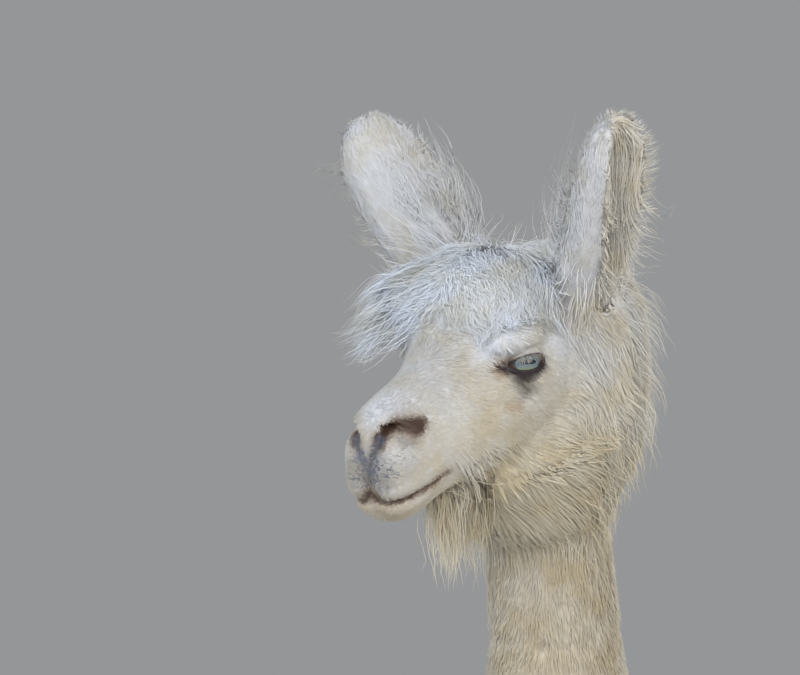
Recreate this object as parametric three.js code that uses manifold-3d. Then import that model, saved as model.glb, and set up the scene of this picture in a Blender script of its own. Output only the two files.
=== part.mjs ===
// A life-size standing llama, its head turned a little to its right.
// Millimetres, +Z up. The animal faces -Y, so its left side is +X. The origin lies on the floor under its middle.
// Every piece of the body is a closed solid out to the tips of the coat, parted from its neighbours by a thin cut.
import * as THREE from "three";
import { mergeVertices } from "three/addons/utils/BufferGeometryUtils.js";
import Module from "manifold-3d";

const wasm = await Module();
wasm.setup();

// ---- driving dimensions ----
const GAP = 0.3; // between two pieces that meet
const WITHERS = 1122; // height of the back over the shoulders
const RUMP = 1130; // height of the croup
const EYE_HEIGHT = 1600;
const EYE_REACH = 594; // how far the middle between the eyes lies ahead of the trunk's middle
const EYE_SHIFT = -23; // and how far to the animal's right, from the turn of the head
const HEAD_TURN = THREE.MathUtils.degToRad(-14); // about the vertical, to the animal's right
const HEAD_NOD = THREE.MathUtils.degToRad(11); // nose down
const EYE_RADIUS = 18;
const EYE_SIDE = 49; // from the head's middle plane to the centre of an eye
const EYE_BACK = 6; // behind the head's own origin
const EAR_WALL = 9; // shell and short coat of an ear together
// How far to its side each ear opens, from straight ahead: the right one is turned further back.
const EAR_OPENING = { left: THREE.MathUtils.degToRad(92), right: THREE.MathUtils.degToRad(122) };
const LEG_TRACK = 97; // half the distance between the left and right feet
const FORE_FOOT = -332; // where the middle of a forefoot stands
const HIND_FOOT = 388; // where the middle of a hind foot stands
const TOE = { length: 84, width: 33, height: 50, spread: 18 };
const NAIL_LIFT = 4; // nails stay clear of the floor
const KNEE = 375;
const HOCK = 420;
const FORE_FETLOCK = 108;
const HIND_FETLOCK = 112;
const ANKLE = 12; // the leg bones end this far above the floor, inside the toes

const ACROSS = new THREE.Vector3(1, 0, 0);
const UP = new THREE.Vector3(0, 0, 1);
const FORWARD = new THREE.Vector3(0, -1, 0);
const SIDES = [["left", 1], ["right", -1]];

// ---- solids: closed meshes joined and cut ----
function solid(geometry) {
  const bare = geometry.clone();
  bare.deleteAttribute("normal");
  bare.deleteAttribute("uv");
  const merged = mergeVertices(bare, 1e-4);
  return new wasm.Manifold(new wasm.Mesh({
    numProp: 3,
    vertProperties: new Float32Array(merged.attributes.position.array),
    triVerts: new Uint32Array(merged.index.array),
  }));
}

// The same body with its whole surface pushed out, for cutting its neighbour with a gap.
function swollen(shape, by) {
  const geometry = geometryOf(shape);
  const { position, normal } = geometry.attributes;
  for (let i = 0; i < position.array.length; i++) position.array[i] += by * normal.array[i];
  return solid(geometry);
}

function moved(shape, matrix) {
  return shape.transform([...matrix.elements]);
}

// Cutting two rounded bodies can leave crumbs, so a piece is the largest body that is left.
function largest(shape) {
  return shape.decompose().reduce((best, body) => (body.volume() > best.volume() ? body : best));
}

function geometryOf(shape) {
  const mesh = shape.getMesh();
  const geometry = new THREE.BufferGeometry();
  geometry.setAttribute("position", new THREE.BufferAttribute(new Float32Array(mesh.vertProperties), 3));
  geometry.setIndex(new THREE.BufferAttribute(new Uint32Array(mesh.triVerts), 1));
  geometry.computeVertexNormals();
  return geometry;
}

// Rings of points, each with the same count, skinned into one closed body.
// Each end is closed by the triangles of its own outline.
function skin(rings, outline) {
  const count = outline.length;
  const points = rings.flat();
  const faces = [];
  for (let ring = 0; ring + 1 < rings.length; ring++) {
    for (let side = 0; side < count; side++) {
      const next = (side + 1) % count;
      const [a, b] = [ring * count + side, ring * count + next];
      faces.push(a, b, b + count, a, b + count, a + count);
    }
  }
  const last = (rings.length - 1) * count;
  for (const [a, b, c] of THREE.ShapeUtils.triangulateShape(outline, [])) {
    faces.push(a, c, b, last + a, last + b, last + c);
  }
  const geometry = new THREE.BufferGeometry().setFromPoints(points).setIndex(faces);
  const made = solid(geometry);
  return made.volume() > 0 ? made : solid(geometry.setIndex(faces.reverse()));
}

// A smooth curve through one value of each station, read at the same place as every other such curve.
function track(stations, value) {
  return new THREE.CatmullRomCurve3(stations.map(value), false, "catmullrom", 0.5);
}

// A body swept through stations { at, half: [width, height], pear, square }. Its sections stand square to its own
// middle line, or to `axis` where that is given. `facing` says which way a section's height points.
// `pear` above 0 makes a section wide at its top and narrow below; `square` 2 is an ellipse and more is boxier.
function sweep(stations, { steps = 2, sides = 12, facing = UP, axis = null }) {
  const middle = track(stations, (s) => new THREE.Vector3(...s.at));
  const sizes = track(stations, (s) => new THREE.Vector3(...s.half, s.pear ?? 0));
  const corners = track(stations, (s) => new THREE.Vector3(s.square ?? 2.2, 0, 0));
  const ringCount = (stations.length - 1) * steps;
  const outline = [];
  const rings = [];
  for (let ring = 0; ring <= ringCount; ring++) {
    const u = ring / ringCount;
    const along = axis ?? middle.getTangent(u);
    const across = ACROSS.clone().addScaledVector(along, -along.dot(ACROSS)).normalize();
    const up = facing.clone().addScaledVector(along, -along.dot(facing)).normalize();
    const { x: width, y: height, z: pear } = sizes.getPoint(u);
    const power = 2 / corners.getPoint(u).x;
    const centre = middle.getPoint(u);
    rings.push(Array.from({ length: sides }, (_, side) => {
      const angle = (2 * Math.PI * (side + 0.5)) / sides;
      const [c, s] = [Math.cos(angle), Math.sin(angle)];
      const out = Math.sign(c) * Math.abs(c) ** power;
      const high = Math.sign(s) * Math.abs(s) ** power;
      if (ring === 0) outline.push(new THREE.Vector2(c, s));
      return centre.clone()
        .addScaledVector(across, out * width * (1 + pear * high))
        .addScaledVector(up, high * height);
    }));
  }
  return skin(rings, outline);
}

function ball([x, y, z], [rx, ry, rz], around = 12, down = 8) {
  const geometry = new THREE.SphereGeometry(1, around, down).rotateX(Math.PI / 2);
  return solid(geometry.scale(rx, ry, rz).translate(x, y, z));
}

// A prism across the body: its outline is drawn in the side view, as [y, z] points.
function prism(outline, halfWidth) {
  const shape = new THREE.Shape(outline.map(([y, z]) => new THREE.Vector2(y, z)));
  const geometry = new THREE.ExtrudeGeometry(shape, { depth: 2 * halfWidth, bevelEnabled: false });
  // The drawing's x becomes y, its y becomes z and its depth becomes x.
  geometry.applyMatrix4(new THREE.Matrix4().makeBasis(FORWARD.clone().negate(), UP, ACROSS));
  return solid(geometry.translate(-halfWidth, 0, 0));
}

const mirrored = (shape) => shape.mirror([1, 0, 0]);
const join = (...shapes) => wasm.Manifold.union(shapes);

// ---- the head, in its own frame: origin midway between the eyes, nose towards -Y ----
const headFrame = new THREE.Matrix4()
  .makeRotationZ(HEAD_TURN)
  .multiply(new THREE.Matrix4().makeRotationX(HEAD_NOD))
  .setPosition(EYE_SHIFT, -EYE_REACH, EYE_HEIGHT);
const headFrameBack = headFrame.clone().invert();

// From the lips to the nape: reach ahead of the eyes, top and bottom height, and half width.
function headStations() {
  const profile = [
    { reach: 155, top: -34, bottom: -80, width: 18, pear: 0 },
    { reach: 149, top: -13, bottom: -97, width: 28, pear: 0 },
    { reach: 135, top: -2, bottom: -105, width: 34, pear: -0.06 },
    { reach: 112, top: 7, bottom: -104, width: 36, pear: -0.16 },
    { reach: 78, top: 18, bottom: -96, width: 39, pear: -0.2 },
    { reach: 42, top: 35, bottom: -94, width: 49, pear: -0.1 },
    { reach: 5, top: 58, bottom: -102, width: 62, pear: 0.06 },
    { reach: -35, top: 76, bottom: -112, width: 69, pear: 0.08 },
    { reach: -72, top: 78, bottom: -104, width: 66, pear: 0.06 },
    { reach: -98, top: 62, bottom: -82, width: 55, pear: 0 },
    { reach: -112, top: 34, bottom: -42, width: 34, pear: 0 },
  ];
  return profile.map(({ reach, top, bottom, width, pear }) => ({
    at: [0, -reach, (top + bottom) / 2],
    half: [width, (top - bottom) / 2],
    pear,
    square: 2.25,
  }));
}

function headFlesh() {
  const skull = sweep(headStations(), { sides: 16, axis: FORWARD });
  const lip = ball([14, -137, -59], [20, 21, 25], 10, 5);
  const brow = ball([50, 2, 23], [20, 34, 13], 10, 5);
  return join(skull, lip, mirrored(lip), brow, mirrored(brow));
}

// The lower jaw, below a mouth line that rises to its corner and then falls to the angle of the jaw.
function jawRegion() {
  return prism([
    [-200, -83], [-145, -83], [-126, -80], [-98, -71], [-82, -77], [20, -97], [62, -103], [62, -200], [-200, -200],
  ], 90);
}

function eyeBall(sign) {
  return ball([sign * EYE_SIDE, EYE_BACK, 0], [EYE_RADIUS, EYE_RADIUS, EYE_RADIUS], 12, 7);
}

// The opening between the lids, cut back to the eyeball.
function lidOpening(sign) {
  return ball([sign * 69, EYE_BACK - 3, -1], [17, 20, 10], 10, 5);
}

// A nostril is a slanting comma, deepest at its front.
function nostril(sign) {
  const slot = ball([0, 0, 0], [8, 18, 5], 8, 5);
  const place = new THREE.Matrix4().makeRotationZ(sign * 0.6).setPosition(sign * 27, -141, -27);
  return moved(slot, place);
}

function makeHead(flesh) {
  let upper = flesh.subtract(swollen(jawRegion(), GAP));
  for (const [, sign] of SIDES) {
    const socket = swollen(eyeBall(sign), GAP);
    upper = upper.subtract(socket).subtract(lidOpening(sign)).subtract(nostril(sign));
  }
  const cleft = ball([0, -163, -66], [3.5, 12, 26], 8, 4);
  return { upper: largest(upper.subtract(cleft)), jaw: largest(flesh.intersect(jawRegion())) };
}

// ---- ears: a curled shell from the side of the skull to a rounded tip that turns in ----
function earStations() {
  return [
    { at: [64, 84, 34], half: [34, 28], curl: 0.4 },
    { at: [79, 79, 66], half: [38, 30], curl: 0.55 },
    { at: [97, 73, 102], half: [40, 30], curl: 0.75 },
    { at: [113, 69, 137], half: [41, 29], curl: 0.9 },
    { at: [126, 65, 168], half: [37, 26], curl: 0.95 },
    { at: [133, 63, 190], half: [25, 18], curl: 0.95 },
    { at: [136, 62, 201], half: [10, 8], curl: 0.9 },
  ];
}

// A shell of the given wall, or the whole body of the ear with its hollow filled.
function earBody(filled, angle) {
  const stations = earStations();
  const middle = track(stations, (s) => new THREE.Vector3(...s.at));
  const sizes = track(stations, (s) => new THREE.Vector3(...s.half, s.curl));
  const opening = new THREE.Vector3(Math.sin(angle), -Math.cos(angle), 0);
  const [ringCount, arcCount] = [(stations.length - 1) * 2, 7];
  const outlineAt = ({ x: width, y: depth, z: curl }) => {
    const arc = (inset) => Array.from({ length: arcCount + 1 }, (_, i) => {
      const angle = curl + ((2 * Math.PI - 2 * curl) * i) / arcCount;
      return new THREE.Vector2((depth - inset) * Math.cos(angle), (width - inset) * Math.sin(angle));
    });
    return filled ? arc(0) : [...arc(0), ...arc(Math.min(EAR_WALL, depth * 0.7)).reverse()];
  };
  const rings = [];
  for (let ring = 0; ring <= ringCount; ring++) {
    const u = ring / ringCount;
    const along = middle.getTangent(u);
    const open = opening.clone().addScaledVector(along, -along.dot(opening)).normalize();
    const across = along.clone().cross(open);
    const centre = middle.getPoint(u);
    rings.push(outlineAt(sizes.getPoint(u)).map((p) => (
      centre.clone().addScaledVector(open, p.x).addScaledVector(across, p.y))));
  }
  return skin(rings, outlineAt(sizes.getPoint(0.5)));
}

// ---- long wool of the head ----
// A cap over the forehead, and a fringe that stands out over the right brow.
function forelockBody() {
  const cap = ball([0, 20, 58], [74, 64, 45], 12, 6);
  const fringe = ball([-19, 2, 50], [88, 44, 36], 14, 6);
  return join(cap, fringe);
}

// Level sections through the wool behind the cheeks and round the back of the head.
function ruffBody() {
  const levels = [
    { z: 80, y: 112, width: 40, depth: 36 },
    { z: 60, y: 96, width: 84, depth: 84 },
    { z: 30, y: 78, width: 108, depth: 116 },
    { z: -10, y: 72, width: 112, depth: 125 },
    { z: -55, y: 72, width: 108, depth: 121 },
    { z: -103, y: 74, width: 98, depth: 113 },
    { z: -141, y: 71, width: 79, depth: 91 },
    { z: -170, y: 67, width: 64, depth: 68 },
  ];
  const stations = levels.map(({ z, y, width, depth }) => ({ at: [0, y, z], half: [width, depth] }));
  return sweep(stations, { steps: 1, sides: 18, facing: FORWARD, axis: UP });
}

// The face and the throat come through the front of the ruff. In the side view its edge runs from the forehead down
// behind the cheek and forward under the jaw, and it lies further back towards the ruff's outside.
function faceRoom() {
  const edge = [[-260, -130], [-90, -112], [-40, -100], [0, -86], [32, -62], [50, -30], [54, 20], [52, 120]];
  const outline = [...edge, [-260, 120]].map(([y, z]) => new THREE.Vector2(y, z));
  const layers = [{ side: -135, back: 48 }, { side: -55, back: 0 }, { side: 55, back: 0 }, { side: 135, back: 48 }];
  return skin(layers.map(({ side, back }) => outline.map((p) => new THREE.Vector3(side, p.x + back, p.y))), outline);
}

function beardBody() {
  return sweep([
    { at: [0, -42, -82], half: [27, 44] },
    { at: [0, -47, -118], half: [27, 38] },
    { at: [0, -54, -152], half: [19, 26] },
    { at: [0, -63, -182], half: [9, 12] },
    { at: [0, -68, -198], half: [3, 4] },
  ], { sides: 10, facing: FORWARD, axis: UP });
}

// ---- neck, trunk and tail ----
function neckBody() {
  return sweep([
    { at: [0, -300, 905], half: [128, 172] },
    { at: [0, -362, 1020], half: [114, 148] },
    { at: [0, -408, 1130], half: [92, 112] },
    { at: [0, -438, 1250], half: [74, 85] },
    { at: [0, -456, 1370], half: [62, 67] },
    { at: [0, -480, 1480], half: [59, 61] },
    { at: [0, -497, 1570], half: [59, 60] },
    { at: [0, -510, 1640], half: [50, 50] },
  ], { sides: 16, facing: FORWARD });
}

// Sections from the breast to the buttocks: place, top and bottom height, and half width.
function trunkBody() {
  const profile = [
    { y: -468, top: 955, bottom: 805, width: 58 },
    { y: -440, top: 1010, bottom: 722, width: 118 },
    { y: -380, top: 1064, bottom: 662, width: 164 },
    { y: -290, top: 1106, bottom: 630, width: 190 },
    { y: -160, top: WITHERS, bottom: 620, width: 204 },
    { y: 0, top: WITHERS - 6, bottom: 632, width: 216 },
    { y: 150, top: WITHERS - 4, bottom: 660, width: 216 },
    { y: 280, top: RUMP, bottom: 712, width: 202 },
    { y: 400, top: RUMP - 10, bottom: 760, width: 186 },
    { y: 490, top: RUMP - 68, bottom: 802, width: 152 },
    { y: 545, top: RUMP - 158, bottom: 850, width: 88 },
  ];
  const stations = profile.map(({ y, top, bottom, width }) => ({
    at: [0, y, (top + bottom) / 2], half: [width, (top - bottom) / 2], pear: -0.05, square: 2.3,
  }));
  return sweep(stations, { steps: 1, sides: 18, axis: FORWARD });
}

function tailBody() {
  return sweep([
    { at: [0, 500, 1022], half: [34, 32] },
    { at: [0, 560, 1008], half: [42, 36] },
    { at: [0, 602, 955], half: [49, 37] },
    { at: [0, 618, 880], half: [45, 32] },
    { at: [0, 614, 806], half: [28, 20] },
    { at: [0, 610, 772], half: [9, 8] },
  ], { facing: FORWARD, sides: 10 });
}

// ---- legs of the left side; the right ones mirror them ----
function foreLeg() {
  return sweep([
    { at: [100, -330, 950], half: [50, 88] },
    { at: [130, -292, 780], half: [62, 104] },
    { at: [126, -258, 668], half: [52, 80] },
    { at: [112, -272, 560], half: [40, 52] },
    { at: [103, -288, 450], half: [31, 36] },
    { at: [100, -296, KNEE], half: [33, 36] },
    { at: [98, -290, 300], half: [25, 27] },
    { at: [LEG_TRACK, -288, 200], half: [23, 25] },
    { at: [LEG_TRACK, -291, 130], half: [28, 30] },
    { at: [LEG_TRACK, -302, 85], half: [29, 31] },
    { at: [LEG_TRACK, -314, 40], half: [27, 27] },
  ], { steps: 1, facing: FORWARD, sides: 10 });
}

function hindLeg() {
  return sweep([
    { at: [96, 322, 965], half: [62, 112] },
    { at: [128, 350, 800], half: [76, 138] },
    { at: [126, 362, 670], half: [60, 104] },
    { at: [112, 402, 560], half: [41, 62] },
    { at: [102, 448, 482], half: [29, 41] },
    { at: [99, 468, HOCK], half: [29, 40] },
    { at: [98, 456, 330], half: [23, 28] },
    { at: [LEG_TRACK, 442, 210], half: [23, 26] },
    { at: [LEG_TRACK, 432, 132], half: [28, 30] },
    { at: [LEG_TRACK, 420, 88], half: [29, 31] },
    { at: [LEG_TRACK, 408, 40], half: [27, 27] },
  ], { steps: 1, facing: FORWARD, sides: 10 });
}

// Everything between two heights.
function layer(bottom, top) {
  const reach = 2000;
  const box = new THREE.BoxGeometry(reach, reach, top - bottom);
  return solid(box.translate(0, 0, (top + bottom) / 2));
}

// Two toes side by side on soft pads, cut flat at the floor.
function toes(footY) {
  const { length, width, height, spread } = TOE;
  const half = width / 2;
  const toe = (sign) => sweep([
    { at: [LEG_TRACK + sign * 13, footY + length * 0.52, height * 0.42], half: [half * 0.5, height * 0.3] },
    { at: [LEG_TRACK + sign * 14, footY + length * 0.4, height * 0.46], half: [half * 0.95, height * 0.56] },
    { at: [LEG_TRACK + sign * 16, footY, height * 0.44], half: [half * 1.06, height * 0.56] },
    { at: [LEG_TRACK + sign * spread, footY - length * 0.36, height * 0.3], half: [half * 0.88, height * 0.4] },
    { at: [LEG_TRACK + sign * spread, footY - length * 0.52, height * 0.22], half: [half * 0.45, height * 0.18] },
  ], { steps: 1, sides: 8 });
  return join(toe(1), toe(-1)).intersect(layer(0, 200));
}

// A nail caps the front of a toe and runs to a blunt point.
function nail(footY, toeSign) {
  const x = LEG_TRACK + toeSign * (TOE.spread + 0.5);
  const claw = sweep([
    { at: [x, footY - TOE.length * 0.36, 21], half: [10, 11] },
    { at: [x, footY - TOE.length * 0.5, 18], half: [10.5, 12] },
    { at: [x, footY - TOE.length * 0.64, 14], half: [8, 9] },
    { at: [x, footY - TOE.length * 0.76, 9], half: [3, 4] },
  ], { steps: 1, sides: 8 });
  return claw.intersect(layer(NAIL_LIFT, 100));
}

// ---- the finished group ----
const coatColours = { face: 0xcfccc6, wool: 0xc4bca9, body: 0xbdb19a, ear: 0xc3bcb0 };
const coat = (colour) => new THREE.MeshStandardMaterial({ color: colour, roughness: 0.95, metalness: 0 });
const eyeMaterial = new THREE.MeshStandardMaterial({ color: 0x8fb0c4, roughness: 0.08, metalness: 0 });
const nailMaterial = new THREE.MeshStandardMaterial({ color: 0x4a4038, roughness: 0.45, metalness: 0 });

const llama = new THREE.Group();
const head = new THREE.Group();
headFrame.decompose(head.position, head.quaternion, head.scale);
llama.add(head);

function add(group, name, shape, material) {
  const mesh = new THREE.Mesh(geometryOf(shape), material);
  mesh.name = name;
  group.add(mesh);
}

// Facets lie a little inside the curves they stand for, so cutters are swollen by this much to leave the gap.
const CUT = GAP + 0.1;
const flesh = headFlesh();
const fleshCutter = swollen(flesh, CUT);
const { upper, jaw } = makeHead(flesh);
const neckCutter = moved(swollen(neckBody(), CUT), headFrameBack);
const trunkCutter = swollen(trunkBody(), CUT);
const forelockCutter = swollen(forelockBody(), CUT);
const beardCutter = swollen(beardBody(), CUT);
const without = (shape, ...cutters) => largest(cutters.reduce((left, cutter) => left.subtract(cutter), shape));

add(head, "head", upper, coat(coatColours.face));
add(head, "lower_jaw", jaw, coat(coatColours.face));
const earCutters = SIDES.map(([side, sign]) => {
  const [shell, filled] = [false, true].map((full) => {
    const body = earBody(full, EAR_OPENING[side]);
    return sign > 0 ? body : mirrored(body);
  });
  add(head, `ear_${side}`, without(shell, fleshCutter), coat(coatColours.ear));
  add(head, `eye_${side}`, eyeBall(sign), eyeMaterial);
  return swollen(filled, CUT);
});
add(head, "forelock", without(forelockBody(), fleshCutter, ...earCutters), coat(coatColours.wool));
add(head, "beard", without(beardBody(), fleshCutter, neckCutter), coat(coatColours.wool));
const ruff = without(
  ruffBody(), faceRoom(), fleshCutter, neckCutter, ...earCutters, forelockCutter, beardCutter);
add(head, "neck_ruff", ruff, coat(coatColours.wool));

add(llama, "neck", without(neckBody(), moved(fleshCutter, headFrame), trunkCutter), coat(coatColours.body));
add(llama, "tail", without(tailBody(), trunkCutter), coat(coatColours.wool));

const limbs = [
  { name: "fore", leg: foreLeg(), joint: KNEE, fetlock: FORE_FETLOCK, footY: FORE_FOOT },
  { name: "hind", leg: hindLeg(), joint: HOCK, fetlock: HIND_FETLOCK, footY: HIND_FOOT },
];
let trunk = trunkBody();
for (const { name, leg, joint, fetlock, footY } of limbs) {
  const legCutter = swollen(leg, CUT);
  trunk = trunk.subtract(legCutter).subtract(mirrored(legCutter));
  const nails = { outer: nail(footY, 1), inner: nail(footY, -1) };
  const foot = join(leg.intersect(layer(ANKLE, fetlock)), toes(footY));
  const pieces = {
    [`${name}leg_upper`]: leg.intersect(layer(joint + GAP, WITHERS)),
    [`${name}leg_lower`]: leg.intersect(layer(fetlock + GAP, joint)),
    [`${name}foot`]: without(foot, swollen(nails.outer, GAP), swollen(nails.inner, GAP)),
  };
  for (const [side, sign] of SIDES) {
    const placed = (shape) => (sign > 0 ? shape : mirrored(shape));
    for (const [piece, shape] of Object.entries(pieces)) {
      add(llama, `${piece}_${side}`, placed(shape), coat(coatColours.body));
    }
    for (const [place, shape] of Object.entries(nails)) {
      add(llama, `nail_${name}_${side}_${place}`, placed(shape), nailMaterial);
    }
  }
}
add(llama, "trunk", largest(trunk), coat(coatColours.body));

// The origin goes to the middle of the animal's box, on the floor.
llama.updateMatrixWorld(true);
const box = new THREE.Box3().setFromObject(llama, true);
llama.position.set(-(box.min.x + box.max.x) / 2, -(box.min.y + box.max.y) / 2, -box.min.z);

export default llama;
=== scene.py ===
"""A life-size llama: skin, eyes, nails and coat, built over its packed construction model."""

import math

import bmesh
import bpy
import numpy as np
from mathutils import Matrix, Vector
from mathutils.bvhtree import BVHTree


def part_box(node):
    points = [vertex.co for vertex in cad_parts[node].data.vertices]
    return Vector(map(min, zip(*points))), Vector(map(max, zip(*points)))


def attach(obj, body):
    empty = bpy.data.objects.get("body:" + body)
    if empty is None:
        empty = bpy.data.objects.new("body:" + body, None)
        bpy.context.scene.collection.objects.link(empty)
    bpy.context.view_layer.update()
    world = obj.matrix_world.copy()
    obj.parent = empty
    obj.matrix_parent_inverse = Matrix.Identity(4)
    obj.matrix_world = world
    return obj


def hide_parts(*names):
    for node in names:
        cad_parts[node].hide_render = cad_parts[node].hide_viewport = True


bl_info = {
    "name": "Llama",
    "version": (1, 0, 0),
    "blender": (4, 5, 0),
    "location": "View3D > Sidebar > Llama",
    "description": "Builds a life-size llama with skin, eyes, nails and coat over its construction model",
    "category": "Object",
}

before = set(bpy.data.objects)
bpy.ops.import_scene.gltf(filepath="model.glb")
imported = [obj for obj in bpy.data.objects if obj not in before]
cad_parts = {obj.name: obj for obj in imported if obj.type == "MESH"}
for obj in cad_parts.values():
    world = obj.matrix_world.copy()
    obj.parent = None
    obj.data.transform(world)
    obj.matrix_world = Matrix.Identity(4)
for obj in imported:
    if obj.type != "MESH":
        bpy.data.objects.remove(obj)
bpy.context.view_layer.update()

BODY = "root"
MM = 0.001
SIDES = {"left": 1, "right": -1}
FLESH = sorted(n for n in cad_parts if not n.startswith(("nail_", "eye_")))
HEAD_FLESH = ("head", "lower_jaw", "neck_ruff", "neck")
WOOL = ("forelock", "beard", "neck_ruff")
NODE_SWELL = 0.5 * MM
NECK_PARTING = 1.355
NECK_LAP = 0.015
EAR_ROUNDING = 14
FLOOR_GAP = 0.0006

# ---- the head's own frame, in millimetres: x to its left, y to its back, z up from between the eyes ----
HEAD_TURN = math.radians(-14)
HEAD_NOD = math.radians(11)
EYE_RADIUS = 18.0
EYE_SIDE = 49.0
EYE_BACK = 6.0
EAR_ROOT = np.array((64.0, 84.0, 34.0))
EAR_TIP = np.array((136.0, 62.0, 201.0))
EAR_POCKET = np.array((90.0, 80.0, 42.0))


def middle(node):
    low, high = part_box(node)
    return (low + high) / 2


HEAD_AXES = Matrix.Rotation(HEAD_TURN, 3, "Z") @ Matrix.Rotation(HEAD_NOD, 3, "X")
HEAD_ORIGIN = (middle("eye_left") + middle("eye_right")) / 2 - HEAD_AXES @ Vector((0, EYE_BACK * MM, 0))
HEAD_ROWS = np.array(HEAD_AXES)
HEAD_AT = np.array(HEAD_ORIGIN)


def to_head(points):
    """Points of the row frame, in metres, as points of the head's frame, in millimetres."""
    return (np.asarray(points) - HEAD_AT) @ HEAD_ROWS / MM


def from_head(points):
    """Points of the head's frame, in millimetres, as points of the row frame, in metres."""
    return HEAD_AT + (np.asarray(points, float) * MM) @ HEAD_ROWS.T


def turn_from_head(vectors):
    return np.asarray(vectors, float) @ HEAD_ROWS.T


# ---- what a user of the model may change ----
def length(name, description, default):
    return bpy.props.FloatProperty(
        name=name, description=description, default=default, min=0.0, precision=4, subtype="DISTANCE",
        unit="LENGTH",
    )


def turn(name, description, degrees):
    return bpy.props.FloatProperty(
        name=name, description=description, default=math.radians(degrees), subtype="ANGLE", unit="ROTATION"
    )


def power(name, description, default):
    return bpy.props.FloatProperty(name=name, description=description, default=default, unit="POWER")


def colour(name, description, default):
    return bpy.props.FloatVectorProperty(
        name=name, description=description, default=default, size=3, min=0.0, max=1.0, subtype="COLOR"
    )


class LlamaSkinSettings(bpy.types.PropertyGroup):
    """How far the skin lies under the tips of the coat, and how finely it is made."""

    face_depth: length("Face", "Depth of the hair on the face", 0.0026)
    muzzle_depth: length("Muzzle", "Depth of the hair on the lips and nose", 0.001)
    ear_depth: length("Ears", "Depth of the hair on the ears", 0.0012)
    ruff_depth: length("Ruff", "Depth of the long wool behind the cheeks", 0.011)
    forelock_depth: length("Forelock", "Depth of the wool on the forehead", 0.008)
    neck_depth: length("Neck", "Depth of the clipped wool on the neck", 0.008)
    trunk_depth: length("Trunk", "Depth of the fleece on the body", 0.018)
    leg_depth: length("Legs", "Depth of the hair on the lower legs", 0.005)
    foot_depth: length("Feet", "Depth of the hair on the feet", 0.002)
    tail_depth: length("Tail", "Depth of the wool on the tail", 0.012)
    head_mesh: length("Head mesh", "Spacing of the skin's points on the head", 0.0027)
    body_mesh: length("Body mesh", "Spacing of the skin's points on the body", 0.010)


class LlamaStageSettings(bpy.types.PropertyGroup):
    """Where the camera stands and how the studio is lit."""

    azimuth: turn("Azimuth", "The camera's turn round the llama, from its front to its left", 24)
    elevation: turn("Elevation", "How high the camera looks from", 4)
    distance: length("Distance", "From the camera to the head", 2.83)
    lens: bpy.props.FloatProperty(name="Lens", description="Focal length", default=150, unit="CAMERA")
    floor_radius: length("Floor radius", "Size of the round floor", 6.5)
    key_power: power("Key", "Power of the main light", 180)
    front_power: power("Front", "Power of the front light", 140)
    fill_power: power("Fill", "Power of the fill light", 130)
    rim_power: power("Rim", "Power of the light behind", 190)
    air: colour("Surround", "Colour of the studio round the llama", (0.30, 0.305, 0.31))
    floor: colour("Floor", "Colour of the floor", (0.50, 0.495, 0.48))


# ---- meshes as arrays ----
def array_of(collection, name, width, kind=np.float32):
    values = np.empty(len(collection) * width, kind)
    collection.foreach_get(name, values)
    return values.reshape(-1, width) if width > 1 else values


def points_of(mesh):
    return array_of(mesh.vertices, "co", 3).astype(float)


def place_points(mesh, points):
    mesh.vertices.foreach_set("co", np.asarray(points, np.float32).ravel())
    mesh.update()


def normals_of(mesh):
    return array_of(mesh.vertex_normals, "vector", 3).astype(float)


def edges_of(mesh):
    return array_of(mesh.edges, "vertices", 2, np.int32)


def corners_of(mesh):
    """The index of the point at each corner of the faces."""
    return array_of(mesh.loops, "vertex_index", 1, np.int32)


def add_map(mesh, name, places):
    """A UV map, from the place of each corner of the faces."""
    layer = mesh.uv_layers.new(name=name)
    layer.data.foreach_set("uv", np.asarray(places, np.float32).ravel())
    return layer


def smoothed(values, edges, steps, share=0.5):
    """Values at a mesh's points, each drawn towards the mean of its neighbours."""
    values = np.array(values, float)
    flat = values.reshape(len(values), -1)
    a, b = edges.T
    count = np.maximum(np.bincount(np.concatenate((a, b)), minlength=len(flat)), 1)
    share = np.asarray(share, float)
    share = share[:, None] if share.ndim else share
    for _ in range(steps):
        mean = np.empty_like(flat)
        for column in range(flat.shape[1]):
            one = flat[:, column]
            mean[:, column] = np.bincount(a, one[b], len(flat)) + np.bincount(b, one[a], len(flat))
        flat += (mean / count[:, None] - flat) * share
    return flat.reshape(values.shape)


def ramp(values, start, end):
    """0 before start, 1 past end and a smooth rise between them."""
    t = np.clip((np.asarray(values, float) - start) / (end - start), 0, 1)
    return t * t * (3 - 2 * t)


def fade(distance, reach, sharp=2):
    """1 where a distance is 0, about a third where it is `reach`, and close to 0 at twice that."""
    return np.exp(-((distance / reach) ** sharp))


def unit(vectors):
    vectors = np.asarray(vectors, float)
    return vectors / np.maximum(np.linalg.norm(vectors, axis=-1, keepdims=True), 1e-12)


def new_object(name, mesh):
    piece = bpy.data.objects.new(name, mesh)
    bpy.context.scene.collection.objects.link(piece)
    return piece


def discard(piece):
    mesh = piece.data
    bpy.data.objects.remove(piece)
    if mesh.users == 0:
        bpy.data.meshes.remove(mesh)


def evaluated(piece):
    """The piece's mesh with its modifiers applied."""
    graph = bpy.context.evaluated_depsgraph_get()
    return bpy.data.meshes.new_from_object(piece.evaluated_get(graph), depsgraph=graph)


def with_modifier(mesh, kind, **values):
    """The mesh that one modifier makes of a mesh."""
    piece = new_object("work", mesh)
    modifier = piece.modifiers.new("work", kind)
    for name, value in values.items():
        setattr(modifier, name, value)
    made = evaluated(piece)
    discard(piece)
    return made


def smooth_shaded(mesh):
    mesh.polygons.foreach_set("use_smooth", np.ones(len(mesh.polygons), bool))
    return mesh


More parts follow.
